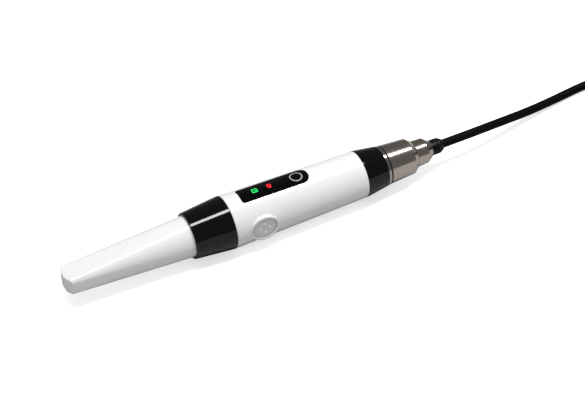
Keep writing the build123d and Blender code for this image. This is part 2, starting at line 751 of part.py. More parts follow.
with BuildPart() as button_return_pad:
    with BuildSketch(side(SWITCH_REACH)):
        Ellipse(PAD_HALF_LENGTH, PAD_HALF_HEIGHT)
        Ellipse(PAD_HALF_LENGTH - PAD_WALL, PAD_HALF_HEIGHT - PAD_WALL, mode=Mode.SUBTRACT)
    extrude(amount=BUTTON_BACK - BUTTON_TRAVEL - FIT - SWITCH_REACH)
write(button_return_pad, "button_return_pad")

# Chassis: a tray with two rails between two bulkheads, with cross ribs that carry the display board
X_CHASSIS = X_BODY + CHASSIS_FRONT_SETBACK
X_CHASSIS_END = X_CHASSIS + CHASSIS_LENGTH
TRAY_TOP = TRAY_BOTTOM + TRAY_THICKNESS
BOARD_BOTTOM = TRAY_TOP + STANDOFF_HEIGHT
BOARD_TOP = BOARD_BOTTOM + BOARD[2]
X_BOARD = X_BODY + BOARD_SETBACK + BOARD[0] / 2
X_SCREWS = X_BODY + sum(SCREW_SETBACKS) / 2
SCREW_PITCH = SCREW_SETBACKS[1] - SCREW_SETBACKS[0]
FLEX_LEVEL_IN_BODY = -1.2

with BuildPart() as chassis:
    with BuildSketch(level((X_CHASSIS + X_CHASSIS_END) / 2, TRAY_BOTTOM)):
        Rectangle(CHASSIS_LENGTH, 2 * TRAY_HALF_WIDTH)
    extrude(amount=TRAY_THICKNESS)
    with BuildSketch(level((X_CHASSIS + X_CHASSIS_END) / 2, TRAY_BOTTOM)):
        with GridLocations(0, 2 * TRAY_HALF_WIDTH - RAIL_THICKNESS, 1, 2):
            Rectangle(CHASSIS_LENGTH, RAIL_THICKNESS)
    extrude(amount=RAIL_TOP - TRAY_BOTTOM)
    for setback in RIB_SETBACKS:
        with BuildSketch(level(X_BODY + setback, RAIL_TOP - RIB_HEIGHT)):
            Rectangle(RIB_THICKNESS, 2 * TRAY_HALF_WIDTH)
        extrude(amount=RIB_HEIGHT)
        with BuildSketch(level(X_BODY + setback, RAIL_TOP - RIB_HEIGHT)):
            with GridLocations(0, POST_SPACING, 1, 2):
                Rectangle(POST_SIZE, POST_SIZE)
        extrude(amount=DISPLAY_BOARD_HEIGHT - RAIL_TOP + RIB_HEIGHT)
    with BuildSketch(across(X_CHASSIS)):
        Circle(body_bore(X_CHASSIS + BULKHEAD_THICKNESS) - GAP)
        with Locations((0, FLEX_LEVEL_IN_BODY)):
            Rectangle(FLEX_SLOT[0], FLEX_SLOT[1], mode=Mode.SUBTRACT)
    extrude(amount=BULKHEAD_THICKNESS)
    with BuildSketch(across(X_CHASSIS_END)):
        Circle(body_bore(X_CHASSIS_END) - GAP)
        Circle(WIRE_HOLE_RADIUS, mode=Mode.SUBTRACT)
    extrude(amount=-BULKHEAD_THICKNESS)
    with BuildSketch(level(X_SCREWS, TRAY_TOP)):
        with GridLocations(SCREW_PITCH, SCREW_SPACING, 2, 2):
            Circle(STANDOFF_RADIUS)
    extrude(amount=STANDOFF_HEIGHT)
    with BuildSketch(level(X_SCREWS, BOARD_BOTTOM)):
        with GridLocations(SCREW_PITCH, SCREW_SPACING, 2, 2):
            Circle(SCREW_RADIUS + FIT)
    extrude(amount=-SCREW_LENGTH + BOARD[2] - GAP, mode=Mode.SUBTRACT)
write(chassis, "chassis")

# Main board and what is soldered to it
with BuildPart() as main_board:
    with BuildSketch(level(X_BOARD, BOARD_BOTTOM)):
        RectangleRounded(BOARD[0], BOARD[1], BOARD_CORNER)
    extrude(amount=BOARD[2])
    with BuildSketch(level(X_SCREWS, BOARD_BOTTOM)):
        with GridLocations(SCREW_PITCH, SCREW_SPACING, 2, 2):
            Circle(SCREW_RADIUS + GAP)
    extrude(amount=BOARD[2], mode=Mode.SUBTRACT)
write(main_board, "main_board")
write(slab(X_BODY + PROCESSOR_SETBACK, BOARD_TOP, PROCESSOR), "image_processor")
write(slab(X_BODY + MEMORY_SETBACK, BOARD_TOP, MEMORY), "memory_chip")
write(slab(X_BODY + CONTROLLER_SETBACK, BOARD_TOP, CONTROLLER), "usb_controller")
write(slab(X_BODY + FLEX_SOCKET_SETBACK, BOARD_TOP, FLEX_SOCKET), "flex_socket")
write(slab(X_BODY + WIRE_HEADER_SETBACK, BOARD_TOP, WIRE_HEADER), "wire_header")

with BuildPart() as board_screws:
    with BuildSketch(level(X_SCREWS, BOARD_TOP)):
        with GridLocations(SCREW_PITCH, SCREW_SPACING, 2, 2):
            Circle(SCREW_HEAD_RADIUS)
    extrude(amount=SCREW_HEAD_HEIGHT)
    with BuildSketch(level(X_SCREWS, BOARD_TOP)):
        with GridLocations(SCREW_PITCH, SCREW_SPACING, 2, 2):
            Circle(SCREW_RADIUS)
    extrude(amount=-SCREW_LENGTH)
write(board_screws, "board_screws")

# Flat flex cable from the sensor board through the nose and the front bulkhead to its socket
FLEX_SEAT = BOARD_TOP + FLEX_SOCKET[2] + FLEX_THICKNESS / 2 + FIT
SENSOR_TOP = (SENSOR_BOARD_LEVEL + SENSOR_BOARD[2]) * sqrt(1 + NOSE_TAPER**2)
FLEX_START = SENSOR_TOP - TIP_HEIGHT / 2 + FLEX_THICKNESS / 2 + FIT
FLEX_ROUTE = (
    (X_TIP + 6, FLEX_START - NOSE_TAPER * 6),
    (X_TIP + 15, FLEX_START - NOSE_TAPER * 15),
    (X_TIP + 22, -0.5),
    (X_BODY - 4, -0.6),
    (X_BODY + FLEX_SOCKET_SETBACK - 4, FLEX_SEAT + 0.4),
    (X_BODY + FLEX_SOCKET_SETBACK - 1.5, FLEX_SEAT),
    (X_BODY + FLEX_SOCKET_SETBACK + 1.2, FLEX_SEAT),
)

with BuildPart() as nose_flex_cable:
    with BuildSketch(AXIAL):
        with BuildLine():
            Polyline(
                *[(x, z + FLEX_THICKNESS / 2) for x, z in FLEX_ROUTE],
                *[(x, z - FLEX_THICKNESS / 2) for x, z in reversed(FLEX_ROUTE)],
                close=True,
            )
        make_face()
    extrude(amount=FLEX_WIDTH / 2, both=True)
write(nose_flex_cable, "nose_flex_cable")

# Rear collar, and the receptacle that a nut clamps through its rear wall
X_REAR_WALL = X_FLANGE - REAR_WALL

with BuildPart() as rear_collar:
    revolve(
        section(
            (X_REAR - REAR_SPIGOT, REAR_SPIGOT_BORE),
            (X_REAR - REAR_SPIGOT, REAR_SPIGOT_RADIUS, EDGE_ROUND),
            (X_REAR, REAR_SPIGOT_RADIUS),
            (X_REAR, REAR_COLLAR_FRONT_RADIUS, EDGE_ROUND),
            (X_FLANGE, REAR_COLLAR_REAR_RADIUS, EDGE_ROUND),
            (X_FLANGE, RECEPTACLE_RADIUS + FIT),
            (X_REAR_WALL, RECEPTACLE_RADIUS + FIT),
            (X_REAR_WALL, REAR_SPIGOT_BORE),
        ),
        axis=AXIS,
    )
write(rear_collar, "rear_collar")

with BuildPart() as receptacle_nut:
    with BuildSketch(across(X_REAR_WALL - NUT_THICKNESS)):
        RegularPolygon(NUT_ACROSS_FLATS / 2, 6, major_radius=False)
        Circle(RECEPTACLE_RADIUS + FIT, mode=Mode.SUBTRACT)
    extrude(amount=NUT_THICKNESS)
write(receptacle_nut, "receptacle_nut")


def sector(start, arc, x_front, x_back, inner, outer):
    """A block that runs part of the way round the axis, from a starting angle above +Y."""
    plane = Plane(
        origin=(0, 0, AXIS_Z),
        x_dir=(1, 0, 0),
        z_dir=(0, -sin(radians(start)), cos(radians(start))),
    )
    with BuildPart() as block:
        with BuildSketch(plane):
            with Locations(((x_front + x_back) / 2, (inner + outer) / 2)):
                Rectangle(x_back - x_front, outer - inner)
        revolve(axis=AXIS, revolution_arc=arc)
    return block.part


LUG_ANGLES = [90 + i * 360 / LUG_COUNT for i in range(LUG_COUNT)]
X_LUG = X_RING + LUG_STATION
X_SOCKET_END = X_GASKET + SOCKET_LENGTH
X_SOCKET_FLOOR = X_RING + SOCKET_FLOOR_STATION

with BuildPart() as receptacle_shell:
    revolve(
        section(
            (X_FLANGE - RECEPTACLE_REACH, RECEPTACLE_BORE),
            (X_FLANGE - RECEPTACLE_REACH, RECEPTACLE_RADIUS, EDGE_ROUND),
            (X_FLANGE, RECEPTACLE_RADIUS),
            (X_FLANGE, FLANGE_RADIUS, FINE_ROUND),
            (X_GASKET, FLANGE_RADIUS, FINE_ROUND),
            (X_GASKET, SOCKET_RADIUS),
            (X_SOCKET_END, SOCKET_RADIUS, EDGE_ROUND),
            (X_SOCKET_END, SOCKET_BORE),
            (X_SOCKET_FLOOR, SOCKET_BORE),
            (X_SOCKET_FLOOR, RECEPTACLE_BORE),
        ),
        axis=AXIS,
    )
    for angle in LUG_ANGLES:
        add(
            sector(
                angle - LUG_ARC / 2,
                LUG_ARC,
                X_LUG - LUG_LENGTH / 2,
                X_LUG + LUG_LENGTH / 2,
                SOCKET_RADIUS - LUG_ROOT,
                SOCKET_RADIUS + LUG_HEIGHT,
            )
        )
write(receptacle_shell, "receptacle_shell")

X_INSULATOR = X_SOCKET_FLOOR - INSULATOR_LENGTH
X_PINS = X_INSULATOR - PIN_TAIL

with BuildPart() as receptacle_insulator:
    with BuildSketch(across(X_INSULATOR)):
        Circle(RECEPTACLE_BORE - FIT)
        with PolarLocations(PIN_CIRCLE, PIN_COUNT, start_angle=90):
            Circle(PIN_RADIUS + FIT / 2, mode=Mode.SUBTRACT)
    extrude(amount=INSULATOR_LENGTH)
write(receptacle_insulator, "receptacle_insulator")

with BuildPart() as contact_pins:
    with BuildSketch(across(X_PINS)):
        with PolarLocations(PIN_CIRCLE, PIN_COUNT, start_angle=90):
            Circle(PIN_RADIUS)
    extrude(amount=PIN_LENGTH)
write(contact_pins, "contact_pins")

with BuildPart() as connector_gasket:
    with BuildSketch(across(X_GASKET)):
        Circle(RING_FRONT_RADIUS - GASKET_INSET)
        Circle(SOCKET_RADIUS + FIT, mode=Mode.SUBTRACT)
    extrude(amount=GASKET_LENGTH)
write(connector_gasket, "connector_gasket")

# Coupling ring: a turned sleeve with three bayonet slots inside, which lock on the receptacle's lugs
X_SHOULDER = X_SOCKET_END + GAP
X_SHOULDER_END = X_SHOULDER + PLUG_SHOULDER_LENGTH
X_SPRING_END = X_SHOULDER_END + SPRING_ROOM
SLOT_RADIUS = SOCKET_RADIUS + LUG_HEIGHT + GAP
SLOT_ARC = LUG_ARC + 2 * SLOT_MARGIN

with BuildPart() as coupling_ring:
    revolve(
        section(
            (X_RING + FIT, SOCKET_RADIUS + FIT),
            (X_RING + FIT, RING_FRONT_RADIUS, EDGE_ROUND),
            (X_RING_CHAMFER, RING_REAR_RADIUS, EDGE_ROUND),
            (X_BACKSHELL - FIT, BACKSHELL_FRONT_RADIUS + FIT),
            (X_BACKSHELL - FIT, PLUG_NECK_RADIUS + FIT),
            (X_SPRING_END, PLUG_NECK_RADIUS + FIT),
            (X_SPRING_END, SOCKET_RADIUS + FIT),
        ),
        axis=AXIS,
    )
    for angle in LUG_ANGLES:
        add(
            sector(
                angle - SLOT_ARC / 2 - BAYONET_TURN,
                SLOT_ARC,
                X_RING - OVERCUT,
                X_LUG + LUG_LENGTH / 2 + GAP,
                SOCKET_RADIUS - LUG_ROOT,
                SLOT_RADIUS,
            ),
            mode=Mode.SUBTRACT,
        )
        add(
            sector(
                angle - SLOT_ARC / 2 - BAYONET_TURN,
                SLOT_ARC + BAYONET_TURN,
                X_LUG - LUG_LENGTH / 2 - GAP,
                X_LUG + LUG_LENGTH / 2 + GAP,
                SOCKET_RADIUS - LUG_ROOT,
                SLOT_RADIUS,
            ),
            mode=Mode.SUBTRACT,
        )
write(coupling_ring, "coupling_ring")

with BuildPart() as spring_washer:
    revolve(
        section(
            (X_SHOULDER_END + FIT, PLUG_NECK_RADIUS + SPRING_INNER_AIR),
            (X_SHOULDER_END + FIT + SPRING_THICKNESS, PLUG_NECK_RADIUS + SPRING_INNER_AIR),
            (X_SPRING_END - FIT, SOCKET_RADIUS - SPRING_OUTER_AIR),
            (X_SPRING_END - FIT - SPRING_THICKNESS, SOCKET_RADIUS - SPRING_OUTER_AIR),
        ),
        axis=AXIS,
    )
write(spring_washer, "spring_washer")

# Plug: a shell with a shoulder that the coupling ring draws in, its insulator and its solder cups
X_PLUG = X_SOCKET_FLOOR + PLUG_END_AIR
X_THREAD_END = X_BACKSHELL + PLUG_THREAD_LENGTH
X_CUPS = X_PINS + PIN_LENGTH + PLUG_END_AIR
X_PLUG_INSULATOR = X_PLUG + PLUG_INSULATOR_INSET

with BuildPart() as plug_shell:
    revolve(
        section(
            (X_PLUG, PLUG_TUBE_BORE),
            (X_PLUG, SOCKET_BORE - GAP, FINE_ROUND),
            (X_SHOULDER, SOCKET_BORE - GAP),
            (X_SHOULDER, PLUG_SHOULDER_RADIUS),
            (X_SHOULDER_END, PLUG_SHOULDER_RADIUS),
            (X_SHOULDER_END, PLUG_NECK_RADIUS),
            (X_THREAD_END, PLUG_NECK_RADIUS),
            (X_THREAD_END, PLUG_NECK_BORE),
            (X_SHOULDER, PLUG_NECK_BORE),
            (X_SHOULDER, PLUG_TUBE_BORE),
        ),
        axis=AXIS,
    )
write(plug_shell, "plug_shell")

with BuildPart() as plug_insulator:
    with BuildSketch(across(X_PLUG_INSULATOR)):
        Circle(PLUG_TUBE_BORE - FIT)
    extrude(amount=X_SHOULDER - FIT - X_PLUG_INSULATOR)
    with BuildSketch(across(X_PLUG_INSULATOR)):
        Circle(PLUG_NECK_BORE - FIT)
    extrude(amount=X_CUPS + CUP_LENGTH - CUP_SHOWING - X_PLUG_INSULATOR)
    with BuildSketch(across(X_PLUG_INSULATOR)):
        with PolarLocations(PIN_CIRCLE, PIN_COUNT, start_angle=90):
            Circle(SOCKET_HOLE_RADIUS)
    extrude(amount=X_CUPS - X_PLUG_INSULATOR, mode=Mode.SUBTRACT)
    with BuildSketch(across(X_PLUG_INSULATOR)):
        with PolarLocations(PIN_CIRCLE, PIN_COUNT, start_angle=90):
            Circle(PIN_RADIUS + FIT / 2)
    extrude(amount=X_THREAD_END - X_PLUG_INSULATOR, mode=Mode.SUBTRACT)
write(plug_insulator, "plug_insulator")

with BuildPart() as solder_cups:
    with BuildSketch(across(X_CUPS)):
        with PolarLocations(PIN_CIRCLE, PIN_COUNT, start_angle=90):
            Circle(PIN_RADIUS)
    extrude(amount=CUP_LENGTH)
write(solder_cups, "solder_cups")

# Backshell: screwed on the plug's neck, it closes on the clamp and the strain relief
X_CLAMP_END = X_RELIEF - BACKSHELL_CHAMFER_LENGTH
X_CLAMP = X_CLAMP_END - CLAMP_LENGTH

with BuildPart() as backshell:
    revolve(
        section(
            (X_BACKSHELL, PLUG_NECK_RADIUS + FIT),
            (X_BACKSHELL, BACKSHELL_FRONT_RADIUS, FINE_ROUND),
            (X_BACKSHELL_CHAMFER, BACKSHELL_REAR_RADIUS, EDGE_ROUND),
            (X_RELIEF, BACKSHELL_END_RADIUS),
            (X_RELIEF, RELIEF_NECK_RADIUS + FIT),
            (X_CLAMP_END + RELIEF_FLANGE_LENGTH + FIT, RELIEF_NECK_RADIUS + FIT),
            (X_CLAMP_END + RELIEF_FLANGE_LENGTH + FIT, CLAMP_RADIUS + FIT),
            (X_THREAD_END + GAP, CLAMP_RADIUS + FIT),
            (X_THREAD_END + GAP, PLUG_NECK_RADIUS + FIT),
        ),
        axis=AXIS,
    )
write(backshell, "backshell")

with BuildPart() as cable_clamp:
    with BuildSketch(across(X_CLAMP_END)):
        Circle(CLAMP_RADIUS)
        Circle(CABLE_RADIUS + FIT, mode=Mode.SUBTRACT)
    extrude(amount=-CLAMP_LENGTH)
    with BuildSketch(across(X_CLAMP)):
        with PolarLocations(CLAMP_RADIUS, CLAMP_SLOTS):
            Rectangle(2 * (CLAMP_RADIUS - CABLE_RADIUS - CLAMP_WALL), CLAMP_SLOT_WIDTH)
    extrude(amount=CLAMP_SLOT_LENGTH, mode=Mode.SUBTRACT)
write(cable_clamp, "cable_clamp")


def notch(x):
    """The four corners of one flex notch in the strain relief, at a station."""
    radius = RELIEF_RADIUS - RELIEF_NOTCH_DEPTH
    return (
        (x, RELIEF_RADIUS),
        (x, radius),
        (x + RELIEF_NOTCH_WIDTH, radius),
        (x + RELIEF_NOTCH_WIDTH, RELIEF_RADIUS),
    )


with BuildPart() as strain_relief:
    revolve(
        section(
            (X_CLAMP_END + FIT, CABLE_RADIUS + FIT),
            (X_CLAMP_END + FIT, RELIEF_FLANGE_RADIUS),
            (X_CLAMP_END + RELIEF_FLANGE_LENGTH, RELIEF_FLANGE_RADIUS),
            (X_CLAMP_END + RELIEF_FLANGE_LENGTH, RELIEF_NECK_RADIUS),
            (X_RELIEF + FIT, RELIEF_NECK_RADIUS),
            (X_RELIEF + FIT, RELIEF_RADIUS, FINE_ROUND),
            *notch(X_RELIEF + RELIEF_NOTCH_STATIONS[0]),
            *notch(X_RELIEF + RELIEF_NOTCH_STATIONS[1]),
            (X_EXIT - RELIEF_NOSE, RELIEF_RADIUS - RELIEF_DRAFT, EDGE_ROUND),
            (X_EXIT, RELIEF_END_RADIUS, EDGE_ROUND),
            (X_EXIT, CABLE_RADIUS + FIT),
        ),
        axis=AXIS,
    )
write(strain_relief, "strain_relief")

# Cable: it leaves along the axis, comes down to the surface and runs into its put-away hank
CABLE_START = X_CLAMP_END - CABLE_GRIP
CABLE_LEVEL = CABLE_RADIUS + FIT
X_HANK = X_EXIT + HANK_SETBACK
CABLE_ROUTE = (
    (CABLE_START, 0, AXIS_Z),
    (X_EXIT + 12, 0, AXIS_Z),
    (X_EXIT + 36, 4.5, 10.2),
    (X_EXIT + 58, 10.5, 5.0),
    (X_EXIT + 80, 15.5, CABLE_LEVEL),
    (X_EXIT + 98, HANK_LOOP, CABLE_LEVEL),
    (X_EXIT + 114, HANK_LOOP, CABLE_LEVEL),
)


def bend_radii(route):
    """The radius at each inner point: 0.45 of its shorter run over the tangent of half the turn."""
    points = [Vector(*p) for p in route]
    radii = []
    for before, here, after in zip(points, points[1:], points[2:]):
        turn = radians((here - before).get_angle(after - here))
        run = min((here - before).length, (after - here).length)
        radii.append(0.45 * run / tan(turn / 2))
    return radii


def cord(route):
    """A round cable along a route of straight runs and tangent arcs."""
    radii = bend_radii(route)
    print("cable bends, mm:", [round(r, 1) for r in radii])
    with BuildPart() as tube:
        with BuildLine() as path:
            FilletPolyline(*route, radius=radii)
        line = path.wires()[0]
        with BuildSketch(Plane(origin=line @ 0, z_dir=line % 0)):
            Circle(CABLE_RADIUS)
        sweep(path=line)
    expected = pi * CABLE_RADIUS**2 * line.length
    print("cable length", round(line.length, 1), "volume", round(tube.part.volume / expected, 4))
    return tube


write(cord(CABLE_ROUTE), "cable")

# Hank: its outer shape is two end loops with a waist that the tie draws in
CABLE_PITCH = 2 * CABLE_RADIUS
HANK_HEIGHT = HANK_LAYERS * CABLE_PITCH
HANK_FLOOR = CABLE_LEVEL - CABLE_RADIUS
HANK_TOP = HANK_FLOOR + HANK_HEIGHT
X_TIE = X_HANK - TIE_SETBACK
HANK_EYE = HANK_LOOP - (HANK_COLUMNS - 0.5) * CABLE_PITCH
TIE_HALF_SPAN = HANK_WAIST + CABLE_RADIUS + TIE_AIR

with BuildPart() as cable_hank:
    with BuildSketch(Plane.XY.offset(HANK_FLOOR)):
        with BuildLine():
            loop = HANK_LOOP + CABLE_RADIUS
            waist = HANK_WAIST + CABLE_RADIUS
            for s in (1, -1):
                CenterArc((X_HANK + s * HANK_HALF_LENGTH, 0), loop, -90 if s > 0 else 90, 180)
                Spline(
                    (X_HANK - HANK_HALF_LENGTH, s * loop),
                    (X_HANK - HANK_WAIST_HALF_LENGTH, s * waist),
                    (X_HANK, s * waist),
                    (X_HANK + HANK_WAIST_HALF_LENGTH, s * waist),
                    (X_HANK + HANK_HALF_LENGTH, s * loop),
                    tangents=((1, 0), (1, 0)),
                )
        make_face()
        with GridLocations(2 * HANK_HALF_LENGTH, 0, 2, 1):
            with Locations((X_HANK, 0)):
                Circle(HANK_EYE, mode=Mode.SUBTRACT)
    extrude(amount=HANK_HEIGHT)
    with BuildSketch(Plane.YZ.offset(CABLE_ROUTE[-1][0])):
        with Locations((HANK_LOOP, CABLE_LEVEL)):
            Circle(CABLE_RADIUS + FIT)
    extrude(amount=-2 * HANK_LOOP, mode=Mode.SUBTRACT)
    with BuildSketch(Plane.YZ.offset(X_TIE - TIE_WIDTH / 2 - GAP)):
        with Locations((0, HANK_FLOOR), (0, HANK_TOP)):
            Rectangle(2 * HANK_LOOP, 2 * (TIE_THICKNESS + GAP))
    extrude(amount=TIE_WIDTH + 2 * GAP, mode=Mode.SUBTRACT)
write(cable_hank, "cable_hank")

# Tie: a flat band round the hank's waist
with BuildPart() as cable_tie:
    with BuildSketch(Plane.YZ.offset(X_TIE - TIE_WIDTH / 2)):
        with Locations((0, (HANK_FLOOR + HANK_TOP) / 2)):
            RectangleRounded(2 * (TIE_HALF_SPAN + TIE_THICKNESS), HANK_HEIGHT, TIE_CORNER)
            RectangleRounded(
                2 * TIE_HALF_SPAN,
                HANK_HEIGHT - 2 * TIE_THICKNESS,
                TIE_INNER_CORNER,
                mode=Mode.SUBTRACT,
            )
    extrude(amount=TIE_WIDTH)
write(cable_tie, "cable_tie")

# Tail: the last of the cable, off the top of the hank's near loop to the plug that lies on it
PLUG_LEVEL = HANK_TOP + OVERMOULD[2] / 2 + FIT
X_USB = X_HANK + PLUG_SETBACK
TAIL_LEVEL = HANK_TOP + CABLE_RADIUS + FIT
TAIL_ROUTE = (
    (X_HANK - 41.5, 7, TAIL_LEVEL),
    (X_HANK - 33.5, 13.5, TAIL_LEVEL + 0.2),
    (X_HANK - 22.5, 14, TAIL_LEVEL + 0.8),
    (X_HANK - 12.5, 9, PLUG_LEVEL - 0.2),
    (X_HANK - 2.5, 2, PLUG_LEVEL),
    (X_HANK + 6, 0, PLUG_LEVEL),
    (X_USB, 0, PLUG_LEVEL),
)
write(cord(TAIL_ROUTE), "cable_tail")

# USB plug: a moulded body with its own strain relief, a folded steel shell and a contact tongue
X_OVERMOULD = X_USB + USB_RELIEF_LENGTH
X_USB_SHELL = X_OVERMOULD + OVERMOULD[0]


def plug_plane(x):
    """The plane square to the USB plug at a station, at the height of its own axis."""
    return Plane(origin=(x, 0, PLUG_LEVEL), x_dir=(0, 1, 0), z_dir=(1, 0, 0))


with BuildPart() as usb_overmould:
    with BuildSketch(plug_plane(X_USB)):
        Circle(CABLE_RADIUS + USB_RELIEF_WALL)
    with BuildSketch(plug_plane(X_OVERMOULD)):
        Circle(USB_RELIEF_RADIUS)
    loft()
    with BuildSketch(plug_plane(X_OVERMOULD)):
        RectangleRounded(OVERMOULD[1], OVERMOULD[2], OVERMOULD_CORNER)
    extrude(amount=OVERMOULD[0])
    fillet(usb_overmould.faces().sort_by(Axis.X)[-1].edges(), radius=OVERMOULD_ROUND)
write(usb_overmould, "usb_overmould")

with BuildPart() as usb_shell:
    with BuildSketch(plug_plane(X_USB_SHELL)):
        RectangleRounded(USB_SHELL[1], USB_SHELL[2], USB_SHELL_CORNER)
        Rectangle(
            USB_SHELL[1] - 2 * USB_SHELL_WALL, USB_SHELL[2] - 2 * USB_SHELL_WALL, mode=Mode.SUBTRACT
        )
    extrude(amount=USB_SHELL[0])
    with BuildSketch(Plane.XY.offset(PLUG_LEVEL)):
        with Locations((X_USB_SHELL + USB_HOLE_SETBACK, 0)):
            with GridLocations(0, USB_HOLE_SPACING, 1, 2):
                Rectangle(USB_HOLE[0], USB_HOLE[1])
    extrude(amount=USB_SHELL[2], both=True, mode=Mode.SUBTRACT)
write(usb_shell, "usb_shell")

with BuildPart() as usb_tongue:
    with BuildSketch(plug_plane(X_USB_SHELL)):
        with Locations((0, USB_SHELL[2] / 2 - USB_SHELL_WALL - USB_TONGUE[2] / 2 - FIT)):
            Rectangle(USB_TONGUE[1], USB_TONGUE[2])
    extrude(amount=USB_TONGUE[0])
write(usb_tongue, "usb_tongue")
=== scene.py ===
# %% [markdown]
# # A corded intraoral camera
# A dentist's camera in one line: a blunt white nose with its lens under the tip, two black collars, a
# tapered white body with a display and an oval button, a steel bayonet connector and a black cable.
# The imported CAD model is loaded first. It holds every solid at its place, and the visible shells are then
# made finer in Blender, piece by piece, on the same sizes.

from math import asin, cos, pi, radians, sin, sqrt, tan

import bmesh
import bpy
from mathutils import Matrix, Vector


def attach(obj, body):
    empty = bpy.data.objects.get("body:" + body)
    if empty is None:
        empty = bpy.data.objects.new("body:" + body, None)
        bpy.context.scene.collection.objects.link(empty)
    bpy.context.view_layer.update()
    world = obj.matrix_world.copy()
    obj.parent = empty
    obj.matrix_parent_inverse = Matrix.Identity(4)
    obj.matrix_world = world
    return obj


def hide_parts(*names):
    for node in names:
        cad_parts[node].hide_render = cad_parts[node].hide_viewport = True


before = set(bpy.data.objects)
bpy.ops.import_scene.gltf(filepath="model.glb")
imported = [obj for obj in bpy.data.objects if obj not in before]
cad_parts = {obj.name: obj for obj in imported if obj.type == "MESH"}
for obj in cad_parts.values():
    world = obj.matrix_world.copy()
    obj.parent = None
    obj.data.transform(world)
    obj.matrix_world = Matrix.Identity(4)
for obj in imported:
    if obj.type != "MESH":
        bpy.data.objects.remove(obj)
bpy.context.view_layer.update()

# %% [markdown]
# ## The view
# The picture looks down at about 40 degrees from the button's side, with the tip nearest, and leans a
# little. A long lens from about one metre keeps the taper of the parts close to their real one.

# %% Camera
CAMERA_PLACE = (-0.2932, -0.7011, 0.6567)
AZIMUTH, ELEVATION, ROLL = -24, 40, 4
LENS = 124.0

lens = bpy.data.cameras.new("photo_camera")
lens.lens = LENS
lens.clip_start = 0.01
photo_camera = bpy.data.objects.new("photo_camera", lens)
bpy.context.collection.objects.link(photo_camera)
photo_camera.matrix_world = (
    Matrix.Translation(CAMERA_PLACE)
    @ Matrix.Rotation(radians(AZIMUTH), 4, "Z")
    @ Matrix.Rotation(radians(90 - ELEVATION), 4, "X")
    @ Matrix.Rotation(radians(-ROLL), 4, "Z")
)
bpy.context.scene.camera = photo_camera
print("camera at", CAMERA_PLACE, "lens", LENS)

# %% [markdown]
# ## Stations
# All sizes are millimetres along and about the camera's own axis, which lies 13.9 mm above the table.
# They are the same values as in the CAD source.

# %% Stations and radii
MM = 0.001
AXIS_Z = 13.9
X_TIP, X_COLLAR, X_BODY, X_REAR = -103.95, -38.45, -17.45, 56.15
X_FLANGE, X_GASKET, X_RING, X_RING_CHAMFER = 68.55, 69.95, 70.75, 84.65
X_BACKSHELL, X_BACKSHELL_CHAMFER, X_RELIEF, X_EXIT = 87.55, 93.75, 96.95, 103.95
FIT = 0.05
GAP = 0.1
OVERCUT = 1
BODY_FRONT_RADIUS, BODY_REAR_RADIUS = 13.75, 12.25
CABLE_RADIUS = 2.25


def body_radius(x):
    """Outer radius of the body's cone at a station."""
    share = (x - X_BODY) / (X_REAR - X_BODY)
    return BODY_FRONT_RADIUS + (BODY_REAR_RADIUS - BODY_FRONT_RADIUS) * share


print("body radius at its middle:", round(body_radius((X_BODY + X_REAR) / 2), 2), "mm")

# %% [markdown]
# ## The cable
# The cable leaves the strain relief along the axis, sinks to the table under its own weight and runs off
# behind the camera. Such a camera has about 1.8 m of 4.5 mm cable. What the picture doesn't show is put
# away as a hank: long turns with a tie round the waist. One spline follows the whole cable, because
# that's what a cable is: a single length, which bends but doesn't stretch.

# %% Where the cable runs
CABLE_LEVEL = CABLE_RADIUS + FIT
CABLE_PITCH = 2 * CABLE_RADIUS
HANK_SETBACK = 146
X_HANK = X_EXIT + HANK_SETBACK
OUTER_LOOP, INNER_LOOP = 18.0, 13.5
OUTER_WAIST, INNER_WAIST = 6.75, 2.25
HANK_HALF_LENGTH = 30.0
WAIST_HALF_LENGTH = 12.0
HANK_TOP = CABLE_LEVEL - CABLE_RADIUS + 4 * CABLE_PITCH
OVERMOULD_HALF_HEIGHT = 4
PLUG_LEVEL = HANK_TOP + OVERMOULD_HALF_HEIGHT + FIT
TAIL_LEVEL = HANK_TOP + CABLE_LEVEL

CABLE_ROUTE = [
    (X_RELIEF - 5.6, 0, AXIS_Z),
    (X_EXIT + 12, 0, AXIS_Z),
    (X_EXIT + 36, 4.5, 10.2),
    (X_EXIT + 58, 10.5, 5.0),
    (X_EXIT + 80, 15.5, CABLE_LEVEL),
    (X_EXIT + 98, 18, CABLE_LEVEL),
]
TAIL_ROUTE = [
    (X_HANK - 41.5, 7, TAIL_LEVEL),
    (X_HANK - 33.5, 13.5, TAIL_LEVEL + 0.2),
    (X_HANK - 22.5, 14, TAIL_LEVEL + 0.8),
    (X_HANK - 12.5, 9, PLUG_LEVEL - 0.2),
    (X_HANK - 2.5, 2, PLUG_LEVEL),
    (X_HANK + 6, 0, PLUG_LEVEL),
    (X_HANK + 13, 0, PLUG_LEVEL),
]
# Each turn's place in the hank: column (0 outer, 1 inner) and layer, in the order in which it's wound
TURNS = [(0, 0), (1, 0), (1, 1), (0, 1), (0, 2), (1, 2), (1, 3)]
TAIL_PLACE = (1, 4)
# Shares of a turn: where the first turn moves over, how much earlier the next does, and for how long
FIRST_MOVE, MOVE_EARLIER, LAST_MOVE, MOVE_LENGTH = 0.92, 0.14, 0.86, 0.12
LOOP_REACH = 1.017  # the spline runs inside its points, which are 30 degrees apart
WAIST_SQUEEZE = 0.89  # the tie draws the layers together


def ease(t):
    """0 to 1 with a soft start and end."""
    t = min(1.0, max(0.0, t))
    return t * t * (3 - 2 * t)


